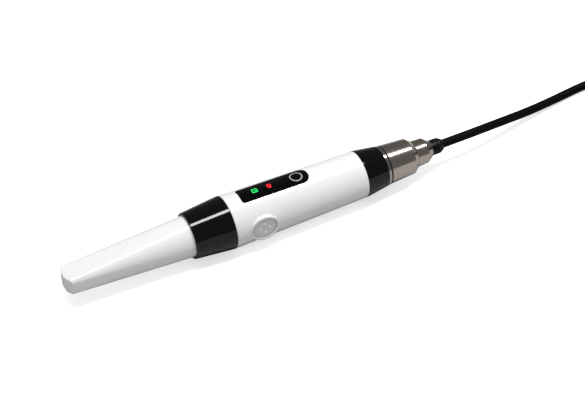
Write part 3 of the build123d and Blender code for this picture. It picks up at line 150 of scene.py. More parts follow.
# The middle of a turn as (place on X, which side or angle): near waist, far loop, back, near loop
OUTLINE = [("side", x, 1) for x in (-30, -24, -18, -12, 0, 12, 18, 24)]
OUTLINE += [("loop", 1, a) for a in (90, 60, 30, 0, -30, -60, -90)]
OUTLINE += [("side", x, -1) for x in (24, 18, 12, 0, -12, -18, -24)]
OUTLINE += [("loop", -1, a) for a in (270, 240, 210, 180, 150, 120)]


def hank_point(step, column, layer):
    """A point of a turn, with its column and layer as numbers that may lie between two places."""
    kind, a, b = OUTLINE[step]
    radius = OUTER_LOOP + (INNER_LOOP - OUTER_LOOP) * column
    waist = OUTER_WAIST + (INNER_WAIST - OUTER_WAIST) * column
    z = CABLE_LEVEL + CABLE_PITCH * layer
    if kind == "loop":
        reach = radius * LOOP_REACH
        angle = radians(b)
        return (X_HANK + a * HANK_HALF_LENGTH + reach * cos(angle), reach * sin(angle), z)
    share = ease((abs(a) - WAIST_HALF_LENGTH) / (HANK_HALF_LENGTH - WAIST_HALF_LENGTH))
    middle = CABLE_LEVEL - CABLE_RADIUS + 2 * CABLE_PITCH
    z = middle + (z - middle) * (WAIST_SQUEEZE + (1 - WAIST_SQUEEZE) * share)
    return (X_HANK + a, b * (waist + (radius - waist) * share), z)


def hank():
    """All the points of the hank. Each turn moves over a little earlier than the one before it."""
    points = []
    for number, (column, layer) in enumerate(TURNS):
        last = number + 1 == len(TURNS)
        next_column, next_layer = TAIL_PLACE if last else TURNS[number + 1]
        move = LAST_MOVE if last else FIRST_MOVE - MOVE_EARLIER * number
        steps = len(OUTLINE) - 2 if last else len(OUTLINE)  # the tail leaves before the last two points
        for step in range(steps):
            t = ease((step / len(OUTLINE) - move) / MOVE_LENGTH + 0.5)
            points.append(
                hank_point(step, column + (next_column - column) * t, layer + (next_layer - layer) * t)
            )
    return points


route = CABLE_ROUTE + hank() + TAIL_ROUTE
print("cable points:", len(route), "in", len(TURNS), "turns")

# %% The cable itself
line = bpy.data.curves.new("cable_line", "CURVE")
line.dimensions = "3D"
line.bevel_depth = 1.0
line.bevel_resolution = 5
line.resolution_u = 5
line.use_fill_caps = True
spline = line.splines.new("NURBS")
spline.points.add(len(route) - 1)
for point, place in zip(spline.points, route):
    point.co = (*[c * MM for c in place], 1)
    point.radius = CABLE_RADIUS * MM
spline.order_u = 3
spline.use_endpoint_u = True
cable = bpy.data.objects.new("cable_whole", line)
bpy.context.collection.objects.link(cable)
print("cable length, m:", round(spline.calc_length(), 3))

# %% What goes with the cable
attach(cable, "camera")
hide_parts("cable", "cable_hank", "cable_tail")

# %% [markdown]
# ## Finishes
# Colours are written as sRGB hex values, as in any paint program, and one function turns them linear.
# One small function adds a node to a tree, sets it up and links it.

# %% Colour and node helpers


def colour(hex_value):
    """A linear colour from an sRGB hex value."""
    channels = [int(hex_value[i : i + 2], 16) / 255 for i in (1, 3, 5)]
    return (*[c / 12.92 if c <= 0.04045 else ((c + 0.055) / 1.055) ** 2.4 for c in channels], 1.0)


def add(tree, kind, inputs=None, **settings):
    """One more node in a tree: settings are its properties, inputs are values or sockets to link."""
    item = tree.nodes.new(kind)
    for key, value in settings.items():
        setattr(item, key, value)
    for key, value in (inputs or {}).items():
        if isinstance(value, bpy.types.NodeSocket):
            tree.links.new(value, item.inputs[key])
        else:
            item.inputs[key].default_value = value
    return item


def surface(name, hex_value, roughness, grain, depth, stretch=(1, 1, 1), **sockets):
    """A finish: one colour and gloss, and a relief whose grain and depth are in millimetres."""
    gloss_spread = 0.15
    finish = bpy.data.materials.new(name)
    finish.use_nodes = True
    tree = finish.node_tree
    shader = tree.nodes["Principled BSDF"]
    shader.inputs["Base Color"].default_value = colour(hex_value)
    finish.diffuse_color = colour(hex_value)
    place = add(tree, "ShaderNodeTexCoord")
    turn = add(tree, "ShaderNodeMapping", {"Vector": place.outputs["Object"], "Scale": stretch})
    noise = add(
        tree,
        "ShaderNodeTexNoise",
        {"Vector": turn.outputs["Vector"], "Scale": 1 / (grain * MM), "Detail": 3.0, "Roughness": 0.55},
    )
    relief = add(
        tree,
        "ShaderNodeBump",
        {"Height": noise.outputs["Fac"], "Distance": depth * MM, "Strength": 1.0},
    )
    gloss = add(
        tree,
        "ShaderNodeMapRange",
        {
            "Value": noise.outputs["Fac"],
            "To Min": roughness * (1 - gloss_spread),
            "To Max": roughness * (1 + gloss_spread),
        },
    )
    tree.links.new(relief.outputs["Normal"], shader.inputs["Normal"])
    tree.links.new(gloss.outputs["Result"], shader.inputs["Roughness"])
    for key, value in sockets.items():
        shader.inputs[key.replace("_", " ")].default_value = value
    return finish


print("white as linear:", [round(c, 3) for c in colour("#F3F3F1")[:3]])

# %% [markdown]
# The shells are moulded ABS: the nose and the body white, polished in the mould, which leaves a very
# slight orange peel; the collars black and lacquered. The display is a smoked acrylic window.

# %% Plastics
white_abs = surface("abs_white_polished_mould", "#F1F1EF", 0.14, 2.4, 0.002, Coat_Weight=0.25)
black_abs = surface("abs_black_lacquered", "#030304", 0.08, 3.0, 0.0012)
smoked_acrylic = surface("acrylic_smoked_polished", "#020203", 0.06, 5.0, 0.0008, Specular_IOR_Level=0.3)
grey_abs = surface("abs_light_grey_satin", "#DCDDDE", 0.3, 0.5, 0.002)
# The dots are one moulding with the cap: their pure white is a painted highlight where they catch the light
dot_painted_highlight = surface("white_painted_highlight_on_dots", "#FFFFFF", 0.25, 0.5, 0.001)
print("plastics: white, black, smoked, light grey, white dots")

# %% [markdown]
# The connector is turned stainless steel. The tool leaves fine rings round the axis, so the noise is
# stretched along the turning direction: tight along X and almost still across it.

# %% Metals
turned_steel = surface(
    "stainless_steel_turned_satin", "#D6CAC0", 0.17, 0.35, 0.0012, (1, 0.02, 0.02), Metallic=1.0
)
polished_steel = surface("stainless_steel_polished", "#C9C7C4", 0.12, 1.0, 0.0008, Metallic=1.0)
gold = surface("brass_gold_plated", "#D9A441", 0.22, 0.5, 0.001, Metallic=1.0)
print("metals: turned and polished steel, plated brass")

# %% Rubbers and jackets
relief_rubber = surface("tpe_black_moulded", "#070808", 0.42, 0.3, 0.006, Specular_IOR_Level=0.35)
cable_jacket = surface("pvc_black_extruded", "#070808", 0.6, 0.6, 0.004, Specular_IOR_Level=0.1)
seal_rubber = surface("nitrile_black_moulded", "#0D0D0D", 0.6, 0.3, 0.004)
tie_tape = surface("nylon_black_hook_tape", "#0E0E0F", 0.85, 0.35, 0.06, Sheen_Weight=0.4)
print("rubbers: relief, jacket, seal, tape")

# %% [markdown]
# ## How the shells are made
# A shell is a row of rings joined by faces. Turned parts put the rings round the axis, the button's parts
# stack ovals away from it, and the nose lets a rounded oblong grow into a circle. So one function that
# skins a row of rings is enough. Rounded corners get a short straight run at each side, which keeps
# the reflection on the long faces straight.

# %% Mesh helpers


def rounded(corners, steps=5, margin=0.3):
    """A closed outline from corners (a, b) or (a, b, rounding), with arcs in place of rounded ones."""
    out = []
    for i, (a, b, *radius) in enumerate(corners):
        here = Vector((a, b))
        if not radius or radius[0] == 0:
            out.append(here)
            continue
        back = Vector(corners[i - 1][:2]) - here
        ahead = Vector(corners[(i + 1) % len(corners)][:2]) - here
        half = back.angle(ahead) / 2
        reach = radius[0] / tan(half)
        centre = here + (back.normalized() + ahead.normalized()).normalized() * radius[0] / sin(half)
        start, end = here + back.normalized() * reach, here + ahead.normalized() * reach
        if back.length > 3 * (reach + margin):
            out.append(start + back.normalized() * margin)
        for k in range(steps + 1):
            spoke = (start - centre).slerp(end - centre, k / steps)  # slerp gives a length of 1
            out.append(centre + spoke * radius[0])
        if ahead.length > 3 * (reach + margin):
            out.append(end + ahead.normalized() * margin)
    return [tuple(p) for p in out]


def skin(name, rings, loop=False):
    """A closed mesh from rings of points in millimetres. loop joins the last ring to the first."""
    count = len(rings[0])
    points = [p for ring in rings for p in ring]
    faces = []
    for i in range(len(rings) if loop else len(rings) - 1):
        a, b = i * count, (i + 1) % len(rings) * count
        faces += [(a + k, a + (k + 1) % count, b + (k + 1) % count, b + k) for k in range(count)]
    if not loop:
        faces += [tuple(range(count)), tuple(range((len(rings) - 1) * count, len(rings) * count))]
    mesh = bpy.data.meshes.new(name)
    mesh.from_pydata([[c * MM for c in p] for p in points], [], faces)
    form = bmesh.new()
    form.from_mesh(mesh)
    bmesh.ops.remove_doubles(form, verts=form.verts, dist=1e-7)
    bmesh.ops.recalc_face_normals(form, faces=form.faces)
    form.to_mesh(mesh)
    form.free()
    piece = bpy.data.objects.new(name, mesh)
    bpy.context.collection.objects.link(piece)
    return piece


def turned(name, corners, around=160):
    """A turned shell from a closed outline of (station, radius, rounding) corners."""
    rings = []
    for x, r in rounded(corners):
        spokes = [2 * pi * k / around for k in range(around)]
        rings.append([(x, r * sin(a), AXIS_Z + r * cos(a)) for a in spokes])
    return skin(name, rings, loop=True)


def plain_mesh(piece):
    """The piece's mesh with its modifiers worked in, and the modifiers removed."""
    worked = piece.evaluated_get(bpy.context.evaluated_depsgraph_get())
    shape = bpy.data.meshes.new_from_object(worked)
    piece.modifiers.clear()
    piece.data = shape
    return piece


def carve(piece, tool, operation="DIFFERENCE"):
    """Cuts a tool out of a piece, or joins or keeps what they share, and throws the tool away."""
    step = piece.modifiers.new("carve", "BOOLEAN")
    step.operation = operation
    step.object = tool
    step.solver = "EXACT"
    plain_mesh(piece)
    bpy.data.objects.remove(tool)
    return piece


def dress(piece, body, finish, slot, *nodes, angle=32):
    """Gives a piece its finish, its smooth shading, its body and the CAD nodes that it stands for."""
    piece.data.materials.clear()
    piece.data.materials.append(finish)
    piece.data.shade_smooth()
    piece.data.set_sharp_from_angle(angle=radians(angle))
    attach(piece, body)
    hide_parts(*nodes)
    print(piece.name, "has", len(piece.data.polygons), "faces")


print("helpers for turned, stacked and carved shells")

# %% [markdown]
# ## The nose
# One glossy moulding. Its tip is a blunt oblong that is bowed in plan, and the section grows evenly into
# the round end that plugs into the front collar, so its soft shoulders widen towards the collar. The
# walls are 1.3 mm thick, twice that at the tip, and a slot under the tip holds the lens window.

# %% Nose shell
TIP_HALF_WIDTH, TIP_HALF_HEIGHT, TIP_CORNER, TIP_ROUND = 7.1, 4.4, 1.8, 0.8
BOW_RADIUS, BOW_STEPS, BOW_START, CREASE_ROUND = 11.7, 12, 0.3, 0.6
NOSE_REAR_RADIUS, NOSE_SPIGOT, NOSE_SECTIONS = 10.55, 7.6, 24
NOSE_LENGTH = X_COLLAR - X_TIP
NOSE_TAPER = (NOSE_REAR_RADIUS - TIP_HALF_HEIGHT) / NOSE_LENGTH


def nose_ring(depth, half_width, half_height, corner, steps=16):
    """A section of the nose at a depth behind the tip: an oblong with round corners."""
    ring = []
    for quarter, (sy, sz) in enumerate(((1, 1), (-1, 1), (-1, -1), (1, -1))):
        for k in range(steps + 1):
            angle = pi / 2 * (quarter + k / steps)
            y = sy * (half_width - corner) + corner * cos(angle)
            z = sz * (half_height - corner) + corner * sin(angle)
            ring.append((X_TIP + depth, y, AXIS_Z + z))
    return ring


def nose_width(depth):
    """Half the nose's width at a depth, without the bow of its end."""
    return TIP_HALF_WIDTH + (NOSE_REAR_RADIUS - TIP_HALF_WIDTH) * depth / NOSE_LENGTH


def nose_corner(depth):
    """The section's corner radius, which grows until the section is a circle."""
    return TIP_CORNER + (NOSE_REAR_RADIUS - TIP_CORNER) * depth / NOSE_LENGTH


bow_angle = asin(TIP_HALF_WIDTH / BOW_RADIUS)
plan = []
for k in range(BOW_STEPS):
    angle = bow_angle * (k + BOW_START) / BOW_STEPS
    plan.append((BOW_RADIUS * (1 - cos(angle)), BOW_RADIUS * sin(angle)))
bow_depth = BOW_RADIUS * (1 - cos(bow_angle))
plan.append((bow_depth, nose_width(bow_depth), CREASE_ROUND))
plan += [(NOSE_LENGTH, NOSE_REAR_RADIUS), (NOSE_LENGTH, 0), (0, 0)]
rings = []
for depth, half_width in rounded(plan)[:-3]:
    lean = max(0, 1 - depth / TIP_ROUND)
    half_height = TIP_HALF_HEIGHT + NOSE_TAPER * depth - TIP_ROUND * (1 - sqrt(1 - lean**2))
    share = half_width / nose_width(depth)
    rings.append(nose_ring(depth - plan[0][0], half_width, half_height, nose_corner(depth) * share))
for k in range(1, NOSE_SECTIONS + 1):
    depth = bow_depth + (NOSE_LENGTH - bow_depth) * k / NOSE_SECTIONS
    half_height = TIP_HALF_HEIGHT + NOSE_TAPER * depth
    rings.append(nose_ring(depth, nose_width(depth), half_height, nose_corner(depth)))
rings.append([(X_COLLAR + NOSE_SPIGOT, y, z) for _, y, z in rings[-1]])
nose = skin("nose_moulding", rings)
print("nose section at the tip:", 2 * TIP_HALF_WIDTH, "x", 2 * TIP_HALF_HEIGHT, "mm")

# %% The hollow of the nose and the slot for its window
TIP_WALL, NOSE_WALL, SPIGOT_WALL = 2.6, 1.3, 1.95
SMALLEST_CORNER, HOLLOW_SECTIONS = 0.8, 12
WINDOW_X, WINDOW_HALF_LENGTH, WINDOW_HALF_WIDTH = X_TIP + 9.2, 5.5, 3.8
SLOT_BELOW, SLOT_ABOVE, SLOT_POINTS = -1, 1.7, 64  # heights about the nose's underside
hollow = []
for k in range(HOLLOW_SECTIONS + 1):
    depth = TIP_WALL + (NOSE_LENGTH - TIP_WALL) * k / HOLLOW_SECTIONS
    half_height = TIP_HALF_HEIGHT + NOSE_TAPER * depth - NOSE_WALL
    inner_corner = max(nose_corner(depth) - NOSE_WALL, SMALLEST_CORNER)
    hollow.append(nose_ring(depth, nose_width(depth) - NOSE_WALL, half_height, inner_corner))
bore = NOSE_REAR_RADIUS - SPIGOT_WALL
hollow.append(nose_ring(NOSE_LENGTH, bore, bore, bore))
hollow.append(nose_ring(NOSE_LENGTH + NOSE_SPIGOT + 1, bore, bore, bore))
carve(nose, skin("nose_hollow", hollow))
straight = WINDOW_HALF_LENGTH - WINDOW_HALF_WIDTH
end_radius = WINDOW_HALF_WIDTH + FIT
slot = []
for height in (SLOT_BELOW, SLOT_ABOVE):
    ring = []
    for k in range(SLOT_POINTS):
        angle = 2 * pi * k / SLOT_POINTS
        x = WINDOW_X + (straight if cos(angle) > 0 else -straight) + end_radius * cos(angle)
        z = AXIS_Z - TIP_HALF_HEIGHT - NOSE_TAPER * (x - X_TIP)
        ring.append((x, end_radius * sin(angle), z + height))
    slot.append(ring)
carve(nose, skin("nose_slot", slot))
dress(nose, "camera", white_abs, "white_shell", "nose_shell")

# %% [markdown]
# ## Collars
# Two lacquered black cones hold the white parts together: each has a spigot that goes into the body.

# %% Front and rear collars
EDGE_ROUND, FINE_ROUND, LIP_ROUND = 0.3, 0.2, 0.4
COLLAR_FRONT_RADIUS, COLLAR_REAR_RADIUS, COLLAR_BORE = 11.9, 13.9, 9.8
NOSE_SEAT_RADIUS = NOSE_REAR_RADIUS + FIT
X_NOSE_STOP = X_COLLAR + NOSE_SPIGOT + GAP
SPIGOT_LENGTH, FRONT_SPIGOT_RADIUS, REAR_SPIGOT_RADIUS = 5, 12.0, 10.45
REAR_COLLAR_FRONT_RADIUS, REAR_COLLAR_REAR_RADIUS, REAR_COLLAR_BORE = 12.4, 10.6, 9.2
REAR_COLLAR_WALL = 3
RECEPTACLE_RADIUS = 7.5

front_collar = turned(
    "front_collar_turned",
    [
        (X_COLLAR, NOSE_SEAT_RADIUS),
        (X_COLLAR, COLLAR_FRONT_RADIUS, LIP_ROUND),
        (X_BODY, COLLAR_REAR_RADIUS, EDGE_ROUND),
        (X_BODY, FRONT_SPIGOT_RADIUS),
        (X_BODY + SPIGOT_LENGTH, FRONT_SPIGOT_RADIUS, EDGE_ROUND),
        (X_BODY + SPIGOT_LENGTH, COLLAR_BORE),
        (X_NOSE_STOP, COLLAR_BORE),
        (X_NOSE_STOP, NOSE_SEAT_RADIUS),
    ],
)
dress(front_collar, "camera", black_abs, "black_collar", "front_collar")
rear_collar = turned(
    "rear_collar_turned",
    [
        (X_REAR - SPIGOT_LENGTH, REAR_COLLAR_BORE),
        (X_REAR - SPIGOT_LENGTH, REAR_SPIGOT_RADIUS, EDGE_ROUND),
        (X_REAR, REAR_SPIGOT_RADIUS),
        (X_REAR, REAR_COLLAR_FRONT_RADIUS, EDGE_ROUND),
        (X_FLANGE, REAR_COLLAR_REAR_RADIUS, EDGE_ROUND),
        (X_FLANGE, RECEPTACLE_RADIUS + FIT),
        (X_FLANGE - REAR_COLLAR_WALL, RECEPTACLE_RADIUS + FIT),
        (X_FLANGE - REAR_COLLAR_WALL, REAR_COLLAR_BORE),
    ],
)
dress(rear_collar, "camera", black_abs, "black_collar", "rear_collar")

# %% [markdown]
# ## The body
# A turned white cone first, then an oval boss is joined to its side, and the button's hole and the
# display's recess are carved out of it. Real moulds are made in the same order.

# %% Ovals and plates
X_BUTTON = X_BODY + 14.7
BOSS_HALF_LENGTH, BOSS_HALF_HEIGHT, BOSS_REACH, BOSS_ROUND = 7.7, 6.9, 14.0, 0.35
BUTTON_HALF_LENGTH, BUTTON_HALF_HEIGHT, BUTTON_GAP = 6.4, 5.4, 0.25
TOOL_LOW, TOOL_HIGH = 2, 20


def oval(reach, half_length, half_height, count=96):
    """An upright oval on the button's side, at a distance from the axis."""
    angles = [2 * pi * k / count for k in range(count)]
    return [(X_BUTTON + half_length * cos(a), -reach, AXIS_Z + half_height * sin(a)) for a in angles]


def round_off(top, rounding, half_length, half_height, steps=6):
    """The ovals of a rounded edge, up to its top."""
    turns = [pi / 2 * k / steps for k in range(steps + 1)]
    insets = [(rounding * (1 - sin(turn)), rounding * (1 - cos(turn))) for turn in turns]
    return [oval(top - drop, half_length - inset, half_height - inset) for drop, inset in insets]


def plate(name, outline):
    """A tool: an upright prism over a plan outline, which reaches through the top of the body."""
    return skin(name, [[(x, y, AXIS_Z + z) for x, y in outline] for z in (TOOL_LOW, TOOL_HIGH)])


def layer(name, top, bottom):
    """The layer of the body's cone between two depths under its outside."""
    front, back = X_BODY - OVERCUT, X_REAR + OVERCUT
    return turned(
        name,
        [
            (front, body_radius(front) - top),
            (back, body_radius(back) - top),
            (back, body_radius(back) - bottom),
            (front, body_radius(front) - bottom),
        ],
        around=192,
    )


DISPLAY_FRONT, DISPLAY_REAR = X_BODY + 7.7, X_BODY + 45.2
X_DISPLAY = (DISPLAY_FRONT + DISPLAY_REAR) / 2
DISPLAY_HALF_LENGTH = (DISPLAY_REAR - DISPLAY_FRONT) / 2
DISPLAY_HALF_WIDTH, DISPLAY_THICKNESS = 5.3, 1.2
DISPLAY_FRONT_CORNER, DISPLAY_REAR_CORNER = 1.4, 4.4
NO_STRAIGHT = 100  # a margin so large that rounded() adds no straight runs


def display_plan(margin):
    """The display window's plan: tight corners in front, a wide round end behind."""
    a, b = DISPLAY_HALF_LENGTH + margin, DISPLAY_HALF_WIDTH + margin
    tight, wide = DISPLAY_FRONT_CORNER + margin, DISPLAY_REAR_CORNER + margin
    corners = [(-a, -b, tight), (a, -b, wide), (a, b, wide), (-a, b, tight)]
    return [(X_DISPLAY + x, y) for x, y in rounded(corners, steps=12, margin=NO_STRAIGHT)]


print("display window:", 2 * DISPLAY_HALF_LENGTH, "x", 2 * DISPLAY_HALF_WIDTH, "mm")

# %% Body shell
BODY_ROUND, BODY_BORE = 0.5, 11.7
BOSS_ROOT, HOLE_ROOT = 8.7, 8.0
HOLE_LIP, HOLE_STEP, HOLE_CHAMFER, HOLE_OVERCUT = 1.6, 0.3, 0.15, 0.5
LEDGE = 1

body = turned(
    "body_moulding",
    [
        (X_BODY, FRONT_SPIGOT_RADIUS + FIT),
        (X_BODY, BODY_FRONT_RADIUS, BODY_ROUND),
        (X_REAR, BODY_REAR_RADIUS, BODY_ROUND),
        (X_REAR, REAR_SPIGOT_RADIUS + FIT),
        (X_REAR - SPIGOT_LENGTH, REAR_SPIGOT_RADIUS + FIT),
        (X_BODY + SPIGOT_LENGTH + GAP, BODY_BORE),
        (X_BODY + SPIGOT_LENGTH + GAP, FRONT_SPIGOT_RADIUS + FIT),
    ],
    around=192,
)
boss = [oval(BOSS_ROOT, BOSS_HALF_LENGTH, BOSS_HALF_HEIGHT)]
boss += round_off(BOSS_REACH, BOSS_ROUND, BOSS_HALF_LENGTH, BOSS_HALF_HEIGHT)
carve(body, skin("boss", boss), "UNION")
hole = [
    oval(reach, BUTTON_HALF_LENGTH + BUTTON_GAP + extra, BUTTON_HALF_HEIGHT + BUTTON_GAP + extra)
    for reach, extra in (
        (HOLE_ROOT, HOLE_STEP),
        (BOSS_REACH - HOLE_LIP, HOLE_STEP),
        (BOSS_REACH - HOLE_LIP, 0),
        (BOSS_REACH - HOLE_CHAMFER, 0),
        (BOSS_REACH + HOLE_OVERCUT, HOLE_CHAMFER + HOLE_OVERCUT),
    )
]
carve(body, skin("button_hole", hole))
recess = layer("recess", -OVERCUT, DISPLAY_THICKNESS + FIT)
carve(recess, plate("recess_plan", display_plan(FIT)), "INTERSECT")
carve(body, recess)
carve(body, plate("opening", display_plan(-LEDGE)))
dress(body, "camera", white_abs, "white_shell", "body_shell")

# %% [markdown]
# ## Display window
# A smoked acrylic plate that follows the cone, flush with the body. Two lit signs and a printed touch
# ring are let into it. The window's front end and the signs lie where the picture has them, a few
# millimetres behind their places in the CAD model.

# %% Display window, its two signs and the touch ring
X_GREEN, X_RED, X_TOUCH = X_BODY + 16.4, X_BODY + 24.2, X_BODY + 39
SIGN_HALF, SIGN_CORNER, SIGN_STROKE, SIGN_DEPTH = 1.5, 0.6, 0.55, 0.45
FRAME_INNER_CORNER = 0.1
SPOT_HALF, SPOT_CORNER, SPOT_SHIFT = 0.42, 0.3, 0.1
RED_RING_SHIFT = 0.35
FOOT_PLACE, FOOT_HALF_LENGTH, FOOT_HALF_WIDTH, FOOT_CORNER = -1.2, 0.9, 0.25, 0.2
POCKET_BOTTOM = 3
TOUCH_RADIUS, TOUCH_STROKE, TOUCH_DEPTH = 3.0, 0.5, 0.3


def square_plan(x, y, half_x, half_y, corner):
    """A rounded oblong's plan about a point."""
    corners = [(u * half_x, v * half_y, corner) for u, v in ((-1, -1), (1, -1), (1, 1), (-1, 1))]
    return [(x + u, y + v) for u, v in rounded(corners, steps=8, margin=NO_STRAIGHT)]


def circle_plan(x, y, radius, count=72):
    """A circle's plan about a point."""
    angles = [2 * pi * k / count for k in range(count)]
    return [(x + radius * cos(a), y + radius * sin(a)) for a in angles]


def frame_tool(name, inner, outer):
    """A tool: an upright frame between two plan outlines."""
    rings = [(inner, TOOL_LOW), (outer, TOOL_LOW), (outer, TOOL_HIGH), (inner, TOOL_HIGH)]
    return skin(name, [[(x, y, AXIS_Z + z) for x, y in plan] for plan, z in rings], loop=True)


def sign_tools(x, margin):
    """The strokes of a sign: a framed spot for the green one, a ring on a foot for the red one."""
    grow, inside = SIGN_HALF + margin, SIGN_HALF - SIGN_STROKE - margin
    if x == X_GREEN:
        edge = square_plan(x, 0, grow, grow, SIGN_CORNER + margin)
        hole = square_plan(x, 0, inside, inside, FRAME_INNER_CORNER)
        half = SPOT_HALF + margin
        spot = square_plan(x + SPOT_SHIFT, -SPOT_SHIFT, half, half, SPOT_CORNER)
        return [frame_tool("strokes", hole, edge), plate("strokes", spot)]
    radius = grow - RED_RING_SHIFT
    ring = frame_tool(
        "strokes",
        circle_plan(x, RED_RING_SHIFT, radius - SIGN_STROKE),
        circle_plan(x, RED_RING_SHIFT, radius),
    )
    foot = square_plan(x, FOOT_PLACE, FOOT_HALF_LENGTH + margin, FOOT_HALF_WIDTH + margin, FOOT_CORNER)
    return [ring, plate("strokes", foot)]


window = layer("display_acrylic", 0, DISPLAY_THICKNESS)
carve(window, plate("window_plan", display_plan(0)), "INTERSECT")
room = SIGN_HALF + FIT
for x in (X_GREEN, X_RED):
    pocket = plate("pocket_plan", square_plan(x, 0, room, room, SIGN_CORNER + FIT))
    carve(window, carve(layer("pocket", SIGN_DEPTH, POCKET_BOTTOM), pocket, "INTERSECT"))
    for tool in sign_tools(x, FIT):
        carve(window, carve(layer("strokes_cut", -OVERCUT, SIGN_DEPTH + FIT), tool, "INTERSECT"))


def touch_ring(name, margin, top, bottom):
    """The printed ring, or with a margin the groove for it."""
    half = TOUCH_STROKE / 2 + margin
    inner = circle_plan(X_TOUCH, 0, TOUCH_RADIUS - half)
    outer = circle_plan(X_TOUCH, 0, TOUCH_RADIUS + half)
    tool = frame_tool("ring_plan", inner, outer)
    return carve(layer(name, top, bottom), tool, "INTERSECT")


carve(window, touch_ring("groove", FIT, -OVERCUT, TOUCH_DEPTH + FIT))
dress(window, "camera", smoked_acrylic, "display_black", "display_window")

# %% Signs and ring


def lit_acrylic(name, hex_value, lit_hex_value):
    """Coloured acrylic, polished, with a light behind it."""
    glow = {"Emission_Color": colour(lit_hex_value), "Emission_Strength": 1.3}
    return surface(name, hex_value, 0.2, 0.4, 0.002, **glow)


green_lit = lit_acrylic("acrylic_green_lit", "#0E7A38", "#22D860")
red_lit = lit_acrylic("acrylic_red_lit", "#8E1020", "#FF2A2A")
ring_print = surface("ink_light_grey_printed", "#B9BBBF", 0.35, 0.5, 0.002)
for name, x, finish, slot_name, node in (
    ("green_sign", X_GREEN, green_lit, "green_light", "green_light_guide"),
    ("red_sign", X_RED, red_lit, "red_light", "red_light_guide"),
):
    block = plate("sign_plan", square_plan(x, 0, SIGN_HALF, SIGN_HALF, SIGN_CORNER))
    sign = carve(layer(name, SIGN_DEPTH + FIT, DISPLAY_THICKNESS), block, "INTERSECT")
    for tool in sign_tools(x, 0):
        carve(sign, carve(layer("strokes", 0, SIGN_DEPTH + 2 * FIT), tool, "INTERSECT"), "UNION")
    dress(sign, "camera", finish, slot_name, node)
touch = touch_ring("touch_print", 0, 0, TOUCH_DEPTH)
dress(touch, "camera", ring_print, "print_grey", "touch_ring")

# %% [markdown]
# ## The capture button
# An oval cap that sits in the boss with a quarter of a millimetre round it. A thin line runs round its
# face, and four raised dots are felt through a glove; they are painted pure white, a painted highlight
# where they catch the light. The dots repeat one dot about the button's centre, and the bayonet's lugs
# and slots repeat about the connector's axis: one Geometry Nodes tree does all.

# %% A tree that repeats a shape about an axis


def repeat_tree():
    """Repeats its geometry about an axis through a centre, as often as Count says."""
    tree = bpy.data.node_groups.new("repeat_about_axis", "GeometryNodeTree")
    face = tree.interface
    face.new_socket("Geometry", in_out="INPUT", socket_type="NodeSocketGeometry")
    face.new_socket("Count", in_out="INPUT", socket_type="NodeSocketInt")
    face.new_socket("Centre", in_out="INPUT", socket_type="NodeSocketVector")
    face.new_socket("Axis", in_out="INPUT", socket_type="NodeSocketVector")
    face.new_socket("Finish", in_out="INPUT", socket_type="NodeSocketMaterial")
    face.new_socket("Geometry", in_out="OUTPUT", socket_type="NodeSocketGeometry")
    given = add(tree, "NodeGroupInput").outputs
    line_of_points = add(
        tree, "GeometryNodeMeshLine", {"Count": given["Count"], "Offset": (0.0, 0.0, 0.0)}
    )
    copies = add(
        tree,
        "GeometryNodeInstanceOnPoints",
        {"Points": line_of_points.outputs["Mesh"], "Instance": given["Geometry"]},
    )
    full_turn = add(
        tree, "ShaderNodeMath", {0: 2 * pi, 1: given["Count"]}, operation="DIVIDE"
    )
    number = add(tree, "GeometryNodeInputIndex")
    angle = add(
        tree, "ShaderNodeMath", {0: number.outputs[0], 1: full_turn.outputs[0]}, operation="MULTIPLY"
    )
    rotation = add(
        tree,
        "FunctionNodeAxisAngleToRotation",
        {"Axis": given["Axis"], "Angle": angle.outputs[0]},
    )
    spread = add(
        tree,
        "GeometryNodeRotateInstances",
        {
            "Instances": copies.outputs["Instances"],
            "Rotation": rotation.outputs[0],
            "Pivot Point": given["Centre"],
            "Local Space": False,
        },
    )
    real = add(tree, "GeometryNodeRealizeInstances", {"Geometry": spread.outputs["Instances"]})
    painted = add(
        tree,
        "GeometryNodeSetMaterial",
        {"Geometry": real.outputs["Geometry"], "Material": given["Finish"]},
    )
    add(tree, "NodeGroupOutput", {"Geometry": painted.outputs["Geometry"]})
    return tree


REPEAT = repeat_tree()


def repeated(piece, count, centre, axis, finish):
    """The piece repeated about an axis, as one plain mesh."""
    step = piece.modifiers.new("repeat", "NODES")
    step.node_group = REPEAT
    inputs = [item for item in REPEAT.interface.items_tree if item.in_out == "INPUT"]
    names = {item.name: item.identifier for item in inputs}
    step[names["Count"]] = count
    step[names["Centre"]] = [c * MM for c in centre]
    step[names["Axis"]] = axis
    step[names["Finish"]] = finish
    piece.data.update()
    return plain_mesh(piece)


print("repeat tree has", len(REPEAT.nodes), "nodes")

# %% Button cap and its dots
BUTTON_FACE, BUTTON_BACK, BUTTON_ROUND = 13.75, 11.5, 0.5
FLANGE, FLANGE_THICKNESS = 0.45, 0.8
LINE_INSET, LINE_WIDTH, LINE_DEPTH, LINE_LEAN = 1.0, 0.25, 0.15, 0.04
DOT_COUNT, DOT_DISTANCE, DOT_POINTS = 4, 2.5, 24
# A dot's outline: height over the button's face, and radius
DOT_OUTLINE = [(-0.3, 0.5), (0.05, 0.5), (0.15, 0.42), (0.2, 0.25)]
FACE_MARGIN = 0.01


def cap_ring(reach, inset):
    """One oval of the cap, set in from its outline."""
    return oval(reach, BUTTON_HALF_LENGTH - inset, BUTTON_HALF_HEIGHT - inset)


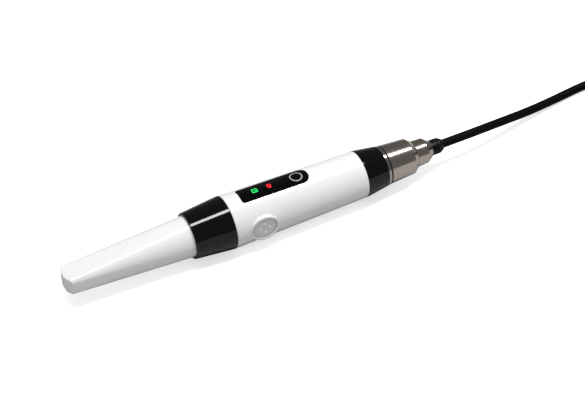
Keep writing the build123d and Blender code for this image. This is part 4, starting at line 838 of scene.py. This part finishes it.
stack = [
    cap_ring(BUTTON_BACK, -FLANGE),
    cap_ring(BUTTON_BACK + FLANGE_THICKNESS, -FLANGE),
    cap_ring(BUTTON_BACK + FLANGE_THICKNESS, 0),
]
stack += round_off(BUTTON_FACE, BUTTON_ROUND, BUTTON_HALF_LENGTH, BUTTON_HALF_HEIGHT)
stack += [
    cap_ring(BUTTON_FACE, LINE_INSET),
    cap_ring(BUTTON_FACE - LINE_DEPTH, LINE_INSET + LINE_LEAN),
    cap_ring(BUTTON_FACE - LINE_DEPTH, LINE_INSET + LINE_WIDTH - LINE_LEAN),
    cap_ring(BUTTON_FACE, LINE_INSET + LINE_WIDTH),
]
cap = skin("button_cap", stack)
dot = []
for height, radius in DOT_OUTLINE:
    ring = circle_plan(X_BUTTON + DOT_DISTANCE, AXIS_Z, radius, DOT_POINTS)
    dot.append([(x, -BUTTON_FACE - height, z) for x, z in ring])
button_centre = (X_BUTTON, -BUTTON_FACE, AXIS_Z)
dots = repeated(skin("button_dot", dot), DOT_COUNT, button_centre, (0, 1, 0), grey_abs)
carve(cap, dots, "UNION")
dress(cap, "button", grey_abs, "button_grey", "capture_button")
# The faces of the dots get a painted highlight: pure white over the grey cap, where they catch the light
cap.data.materials.append(dot_painted_highlight)
for face in cap.data.polygons:
    if face.center.y < -(BUTTON_FACE + FACE_MARGIN) * MM:
        face.material_index = 1  # the dots stand over the face, and get the painted highlight

# %% [markdown]
# ## The connector
# A steel flange is clamped on the rear collar. Three lugs on the receptacle behind it lock in the slots
# of the coupling ring, which turns by 60 degrees. Behind the ring a smaller backshell closes on the
# cable's rubber strain relief.

# %% Receptacle with its lugs
RECEPTACLE_BORE, RECEPTACLE_REACH, FLANGE_RADIUS = 6.2, 6.5, 10.4
SOCKET_RADIUS, SOCKET_BORE = 8.3, 7.3
X_SOCKET_FLOOR, X_SOCKET_END = X_RING + 1, X_GASKET + 10.5
X_LUG = X_RING + 7
LUG_COUNT, LUG_ANGLE, LUG_ARC, LUG_LENGTH = 3, 90, 12, 2.0
LUG_HEIGHT, LUG_ROOT = 0.8, 0.3
AXIS_CENTRE, AXIS_DIRECTION = (0, 0, AXIS_Z), (1, 0, 0)


def wedge(name, start, arc, front, back, outer, steps=16):
    """A block from just inside the socket's radius outwards, part of the way round the axis."""
    inner = SOCKET_RADIUS - LUG_ROOT
    corners = [(front, inner), (back, inner), (back, outer), (front, outer)]
    angles = [radians(start + arc * k / steps) for k in range(steps + 1)]
    return skin(name, [[(x, r * cos(a), AXIS_Z + r * sin(a)) for x, r in corners] for a in angles])


receptacle = turned(
    "receptacle_turned",
    [
        (X_FLANGE - RECEPTACLE_REACH, RECEPTACLE_BORE),
        (X_FLANGE - RECEPTACLE_REACH, RECEPTACLE_RADIUS, EDGE_ROUND),
        (X_FLANGE, RECEPTACLE_RADIUS),
        (X_FLANGE, FLANGE_RADIUS, FINE_ROUND),
        (X_GASKET, FLANGE_RADIUS, FINE_ROUND),
        (X_GASKET, SOCKET_RADIUS),
        (X_SOCKET_END, SOCKET_RADIUS, EDGE_ROUND),
        (X_SOCKET_END, SOCKET_BORE),
        (X_SOCKET_FLOOR, SOCKET_BORE),
        (X_SOCKET_FLOOR, RECEPTACLE_BORE),
    ],
)
lug_start, lug_half = LUG_ANGLE - LUG_ARC / 2, LUG_LENGTH / 2
lug_top = SOCKET_RADIUS + LUG_HEIGHT
lug = wedge("lug", lug_start, LUG_ARC, X_LUG - lug_half, X_LUG + lug_half, lug_top)
carve(receptacle, repeated(lug, LUG_COUNT, AXIS_CENTRE, AXIS_DIRECTION, polished_steel), "UNION")
dress(receptacle, "camera", polished_steel, "polished_steel", "receptacle_shell")

# %% Coupling ring with its bayonet slots
RING_FRONT_RADIUS, RING_REAR_RADIUS = 10.25, 9.3
BACKSHELL_FRONT_RADIUS, PLUG_NECK_RADIUS = 6.9, 6.2
X_SPRING_END = X_GASKET + 14.4
SLOT_MARGIN, BAYONET_TURN = 2.5, 60

coupling = turned(
    "coupling_turned",
    [
        (X_RING + FIT, SOCKET_RADIUS + FIT),
        (X_RING + FIT, RING_FRONT_RADIUS, EDGE_ROUND),
        (X_RING_CHAMFER, RING_REAR_RADIUS, EDGE_ROUND),
        (X_BACKSHELL - FIT, BACKSHELL_FRONT_RADIUS + FIT),
        (X_BACKSHELL - FIT, PLUG_NECK_RADIUS + FIT),
        (X_SPRING_END, PLUG_NECK_RADIUS + FIT),
        (X_SPRING_END, SOCKET_RADIUS + FIT),
    ],
)
slot_arc = LUG_ARC + 2 * SLOT_MARGIN
slot_start = LUG_ANGLE - slot_arc / 2 - BAYONET_TURN
slot_half = lug_half + GAP
slot_top = lug_top + GAP
entry = wedge("entry", slot_start, slot_arc, X_RING - OVERCUT, X_LUG + slot_half, slot_top)
track_arc = slot_arc + BAYONET_TURN
track = wedge("track", slot_start, track_arc, X_LUG - slot_half, X_LUG + slot_half, slot_top)
for tool in (entry, track):
    carve(coupling, repeated(tool, LUG_COUNT, AXIS_CENTRE, AXIS_DIRECTION, turned_steel))
dress(coupling, "ring", turned_steel, "satin_steel", "coupling_ring")

# %% Backshell
BACKSHELL_REAR_RADIUS, BACKSHELL_END_RADIUS, BACKSHELL_BORE = 6.6, 4.4, 4.95
X_THREAD_END = X_BACKSHELL + 2.5
RELIEF_NECK_RADIUS, RELIEF_NECK_LENGTH = 3.6, 2.2
X_BACKSHELL_WALL = X_RELIEF - RELIEF_NECK_LENGTH + FIT

backshell = turned(
    "backshell_turned",
    [
        (X_BACKSHELL, PLUG_NECK_RADIUS + FIT),
        (X_BACKSHELL, BACKSHELL_FRONT_RADIUS, FINE_ROUND),
        (X_BACKSHELL_CHAMFER, BACKSHELL_REAR_RADIUS, EDGE_ROUND),
        (X_RELIEF, BACKSHELL_END_RADIUS, FINE_ROUND),
        (X_RELIEF, RELIEF_NECK_RADIUS + FIT),
        (X_BACKSHELL_WALL, RELIEF_NECK_RADIUS + FIT),
        (X_BACKSHELL_WALL, BACKSHELL_BORE),
        (X_THREAD_END, BACKSHELL_BORE),
        (X_THREAD_END, PLUG_NECK_RADIUS + FIT),
    ],
)
dress(backshell, "camera", turned_steel, "satin_steel", "backshell")

# %% Strain relief: a head inside the backshell, a neck, two grooves and a rounded end
RELIEF_BORE, RELIEF_HEAD_RADIUS, RELIEF_RADIUS = CABLE_RADIUS + FIT, 4.8, 4.1
X_RELIEF_NECK = X_RELIEF - RELIEF_NECK_LENGTH
X_RELIEF_HEAD = X_RELIEF_NECK - 0.95
GROOVES, GROOVE_WIDTH, GROOVE_RADIUS, GROOVE_ROUND = (1.5, 3.3), 0.6, 3.4, 0.1
RELIEF_TAPER_LENGTH, RELIEF_TAPER_RADIUS, RELIEF_END_RADIUS = 1.8, 4.0, 3.0

relief_corners = [
    (X_RELIEF_HEAD, RELIEF_BORE),
    (X_RELIEF_HEAD, RELIEF_HEAD_RADIUS),
    (X_RELIEF_NECK, RELIEF_HEAD_RADIUS),
    (X_RELIEF_NECK, RELIEF_NECK_RADIUS),
    (X_RELIEF + FIT, RELIEF_NECK_RADIUS),
    (X_RELIEF + FIT, RELIEF_RADIUS, FINE_ROUND),
]
for station in GROOVES:
    front, back = X_RELIEF + station, X_RELIEF + station + GROOVE_WIDTH
    relief_corners += [
        (front, RELIEF_RADIUS, GROOVE_ROUND),
        (front, GROOVE_RADIUS, GROOVE_ROUND),
        (back, GROOVE_RADIUS, GROOVE_ROUND),
        (back, RELIEF_RADIUS, GROOVE_ROUND),
    ]
relief_corners += [
    (X_EXIT - RELIEF_TAPER_LENGTH, RELIEF_TAPER_RADIUS, LIP_ROUND),
    (X_EXIT, RELIEF_END_RADIUS, EDGE_ROUND),
    (X_EXIT, RELIEF_BORE),
]
relief = turned("relief_moulding", relief_corners, around=96)
dress(relief, "camera", relief_rubber, "black_rubber", "strain_relief", angle=50)

# %% [markdown]
# ## What stays as it is in the CAD model
# The inner pieces can't be seen from outside, apart from those behind the lens window, but each has its
# own finish, so that the model can be opened.

# %% Finishes for the inner pieces
clear_glass = surface(
    "glass_clear_coated", "#EDF4F6", 0.03, 4.0, 0.0003, Transmission_Weight=1.0, IOR=1.5
)
solder_mask = surface("epoxy_board_green_mask", "#0E4A24", 0.35, 0.8, 0.006)
board_black = surface("epoxy_board_black_mask", "#0B0B0C", 0.4, 0.8, 0.006)
chip_epoxy = surface("epoxy_chip_moulded", "#151517", 0.55, 0.15, 0.004)
nylon_white = surface("nylon_natural_moulded", "#DAD6C8", 0.5, 0.4, 0.004)
chassis_grey = surface("abs_grey_moulded", "#6B6D70", 0.5, 0.4, 0.006)
inner_black = surface("acetal_black_moulded", "#0C0C0D", 0.6, 0.3, 0.006)
silicone = surface("silicone_grey_moulded", "#8F9094", 0.6, 0.4, 0.004)
film = surface("polyimide_film", "#A5631B", 0.3, 1.5, 0.001)
led_phosphor = surface("led_phosphor_lens", "#F0E48C", 0.3, 0.2, 0.003)

FINISHES = {
    clear_glass: ["tip_window", "front_lens", "rear_lens"],
    board_black: ["led_board"],
    solder_mask: ["sensor_board", "display_board", "button_board", "main_board"],
    chip_epoxy: ["image_sensor", "image_processor", "memory_chip", "usb_controller", "tact_switch"],
    nylon_white: ["flex_socket", "wire_header", "switch_plunger", "usb_tongue"],
    chassis_grey: ["chassis"],
    inner_black: ["lens_barrel", "optic_carrier", "light_barrier", "receptacle_insulator", "plug_insulator"],
    silicone: ["touch_pad", "button_return_pad"],
    film: ["nose_flex_cable"],
    led_phosphor: ["illumination_leds", "status_leds"],
    seal_rubber: ["nose_o_ring", "collar_o_ring", "connector_gasket"],
    polished_steel: ["receptacle_nut", "board_screws", "spring_washer", "usb_shell"],
    turned_steel: ["plug_shell"],
    gold: ["contact_pins", "solder_cups", "cable_clamp"],
    relief_rubber: ["usb_overmould"],
    tie_tape: ["cable_tie"],
}
for finish, names in FINISHES.items():
    for name in names:
        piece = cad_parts[name]
        piece.data.materials.clear()
        piece.data.materials.append(finish)
cable.data.materials.append(cable_jacket)
print(sum(len(names) for names in FINISHES.values()), "CAD pieces have their own finish")

# %% [markdown]
# ## Studio
# A white floor under one long soft box overhead, in an evenly lit room that is dark in reflections, as
# black flags make it. The floor adds a little light of its own to camera rays, so that it reads as white
# paper with a soft shadow, and it throws less light back at the object than it shows.

# %% Floor
FLOOR_SIZE = 6.0
FLOOR_GLOW = 0.6
half = FLOOR_SIZE / 2
floor_mesh = bpy.data.meshes.new("paper_floor")
floor_corners = [(-half, -half, 0), (half, -half, 0), (half, half, 0), (-half, half, 0)]
floor_mesh.from_pydata(floor_corners, [], [(0, 1, 2, 3)])
floor = bpy.data.objects.new("paper_floor", floor_mesh)
bpy.context.collection.objects.link(floor)
paper = bpy.data.materials.new("paper_white")
paper.use_nodes = True
tree = paper.node_tree
tree.nodes.clear()
rays = add(tree, "ShaderNodeLightPath")
to_camera = rays.outputs["Is Camera Ray"]
glow_strength = add(tree, "ShaderNodeMath", {0: to_camera, 1: FLOOR_GLOW}, operation="MULTIPLY")
seen_matt = add(tree, "ShaderNodeBsdfDiffuse", {"Color": colour("#F2F2F2")})
bounced_matt = add(tree, "ShaderNodeBsdfDiffuse", {"Color": colour("#A8A8A8")})
matt = add(
    tree,
    "ShaderNodeMixShader",
    {0: to_camera, 1: bounced_matt.outputs[0], 2: seen_matt.outputs[0]},
)
glow = add(
    tree, "ShaderNodeEmission", {"Color": colour("#FFFFFF"), "Strength": glow_strength.outputs[0]}
)
both = add(tree, "ShaderNodeAddShader", {0: matt.outputs[0], 1: glow.outputs[0]})
add(tree, "ShaderNodeOutputMaterial", {"Surface": both.outputs[0]})
floor_mesh.materials.append(paper)
print("floor:", FLOOR_SIZE, "m square")

# %% Lamp and world
WORLD_LIGHT, WORLD_IN_REFLECTIONS = 0.46, 0.13
LAMP_PLACE, LAMP_AIM = (0.24, -0.1, 1.1), (0.24, 0.0, 0.0)
LAMP_SIZE, LAMP_WATTS = (0.88, 0.2), 10


def soft_box(name, place, aim, size, watts):
    """A rectangular lamp at a place, aimed at a point, with its long side along the camera's axis."""
    lamp = bpy.data.lights.new(name, "AREA")
    lamp.shape = "RECTANGLE"
    lamp.size, lamp.size_y = size
    lamp.energy = watts
    box = bpy.data.objects.new(name, lamp)
    bpy.context.collection.objects.link(box)
    box.location = place
    back = (Vector(place) - Vector(aim)).normalized()
    along = (Vector((1, 0, 0)) - back * back.x).normalized()
    box.rotation_euler = Matrix((along, back.cross(along), back)).transposed().to_euler()


soft_box("overhead_strip", LAMP_PLACE, LAMP_AIM, LAMP_SIZE, LAMP_WATTS)
world = bpy.data.worlds.new("studio")
world.use_nodes = True
tree = world.node_tree
rays = add(tree, "ShaderNodeLightPath")
dim = add(
    tree,
    "ShaderNodeMapRange",
    {"Value": rays.outputs["Is Glossy Ray"], "To Min": WORLD_LIGHT, "To Max": WORLD_IN_REFLECTIONS},
)
background = tree.nodes["Background"]
background.inputs["Color"].default_value = colour("#FFFFFF")
tree.links.new(dim.outputs["Result"], background.inputs["Strength"])
bpy.context.scene.world = world
bpy.context.scene.view_settings.view_transform = "Standard"
print("one long soft box and a dim world")
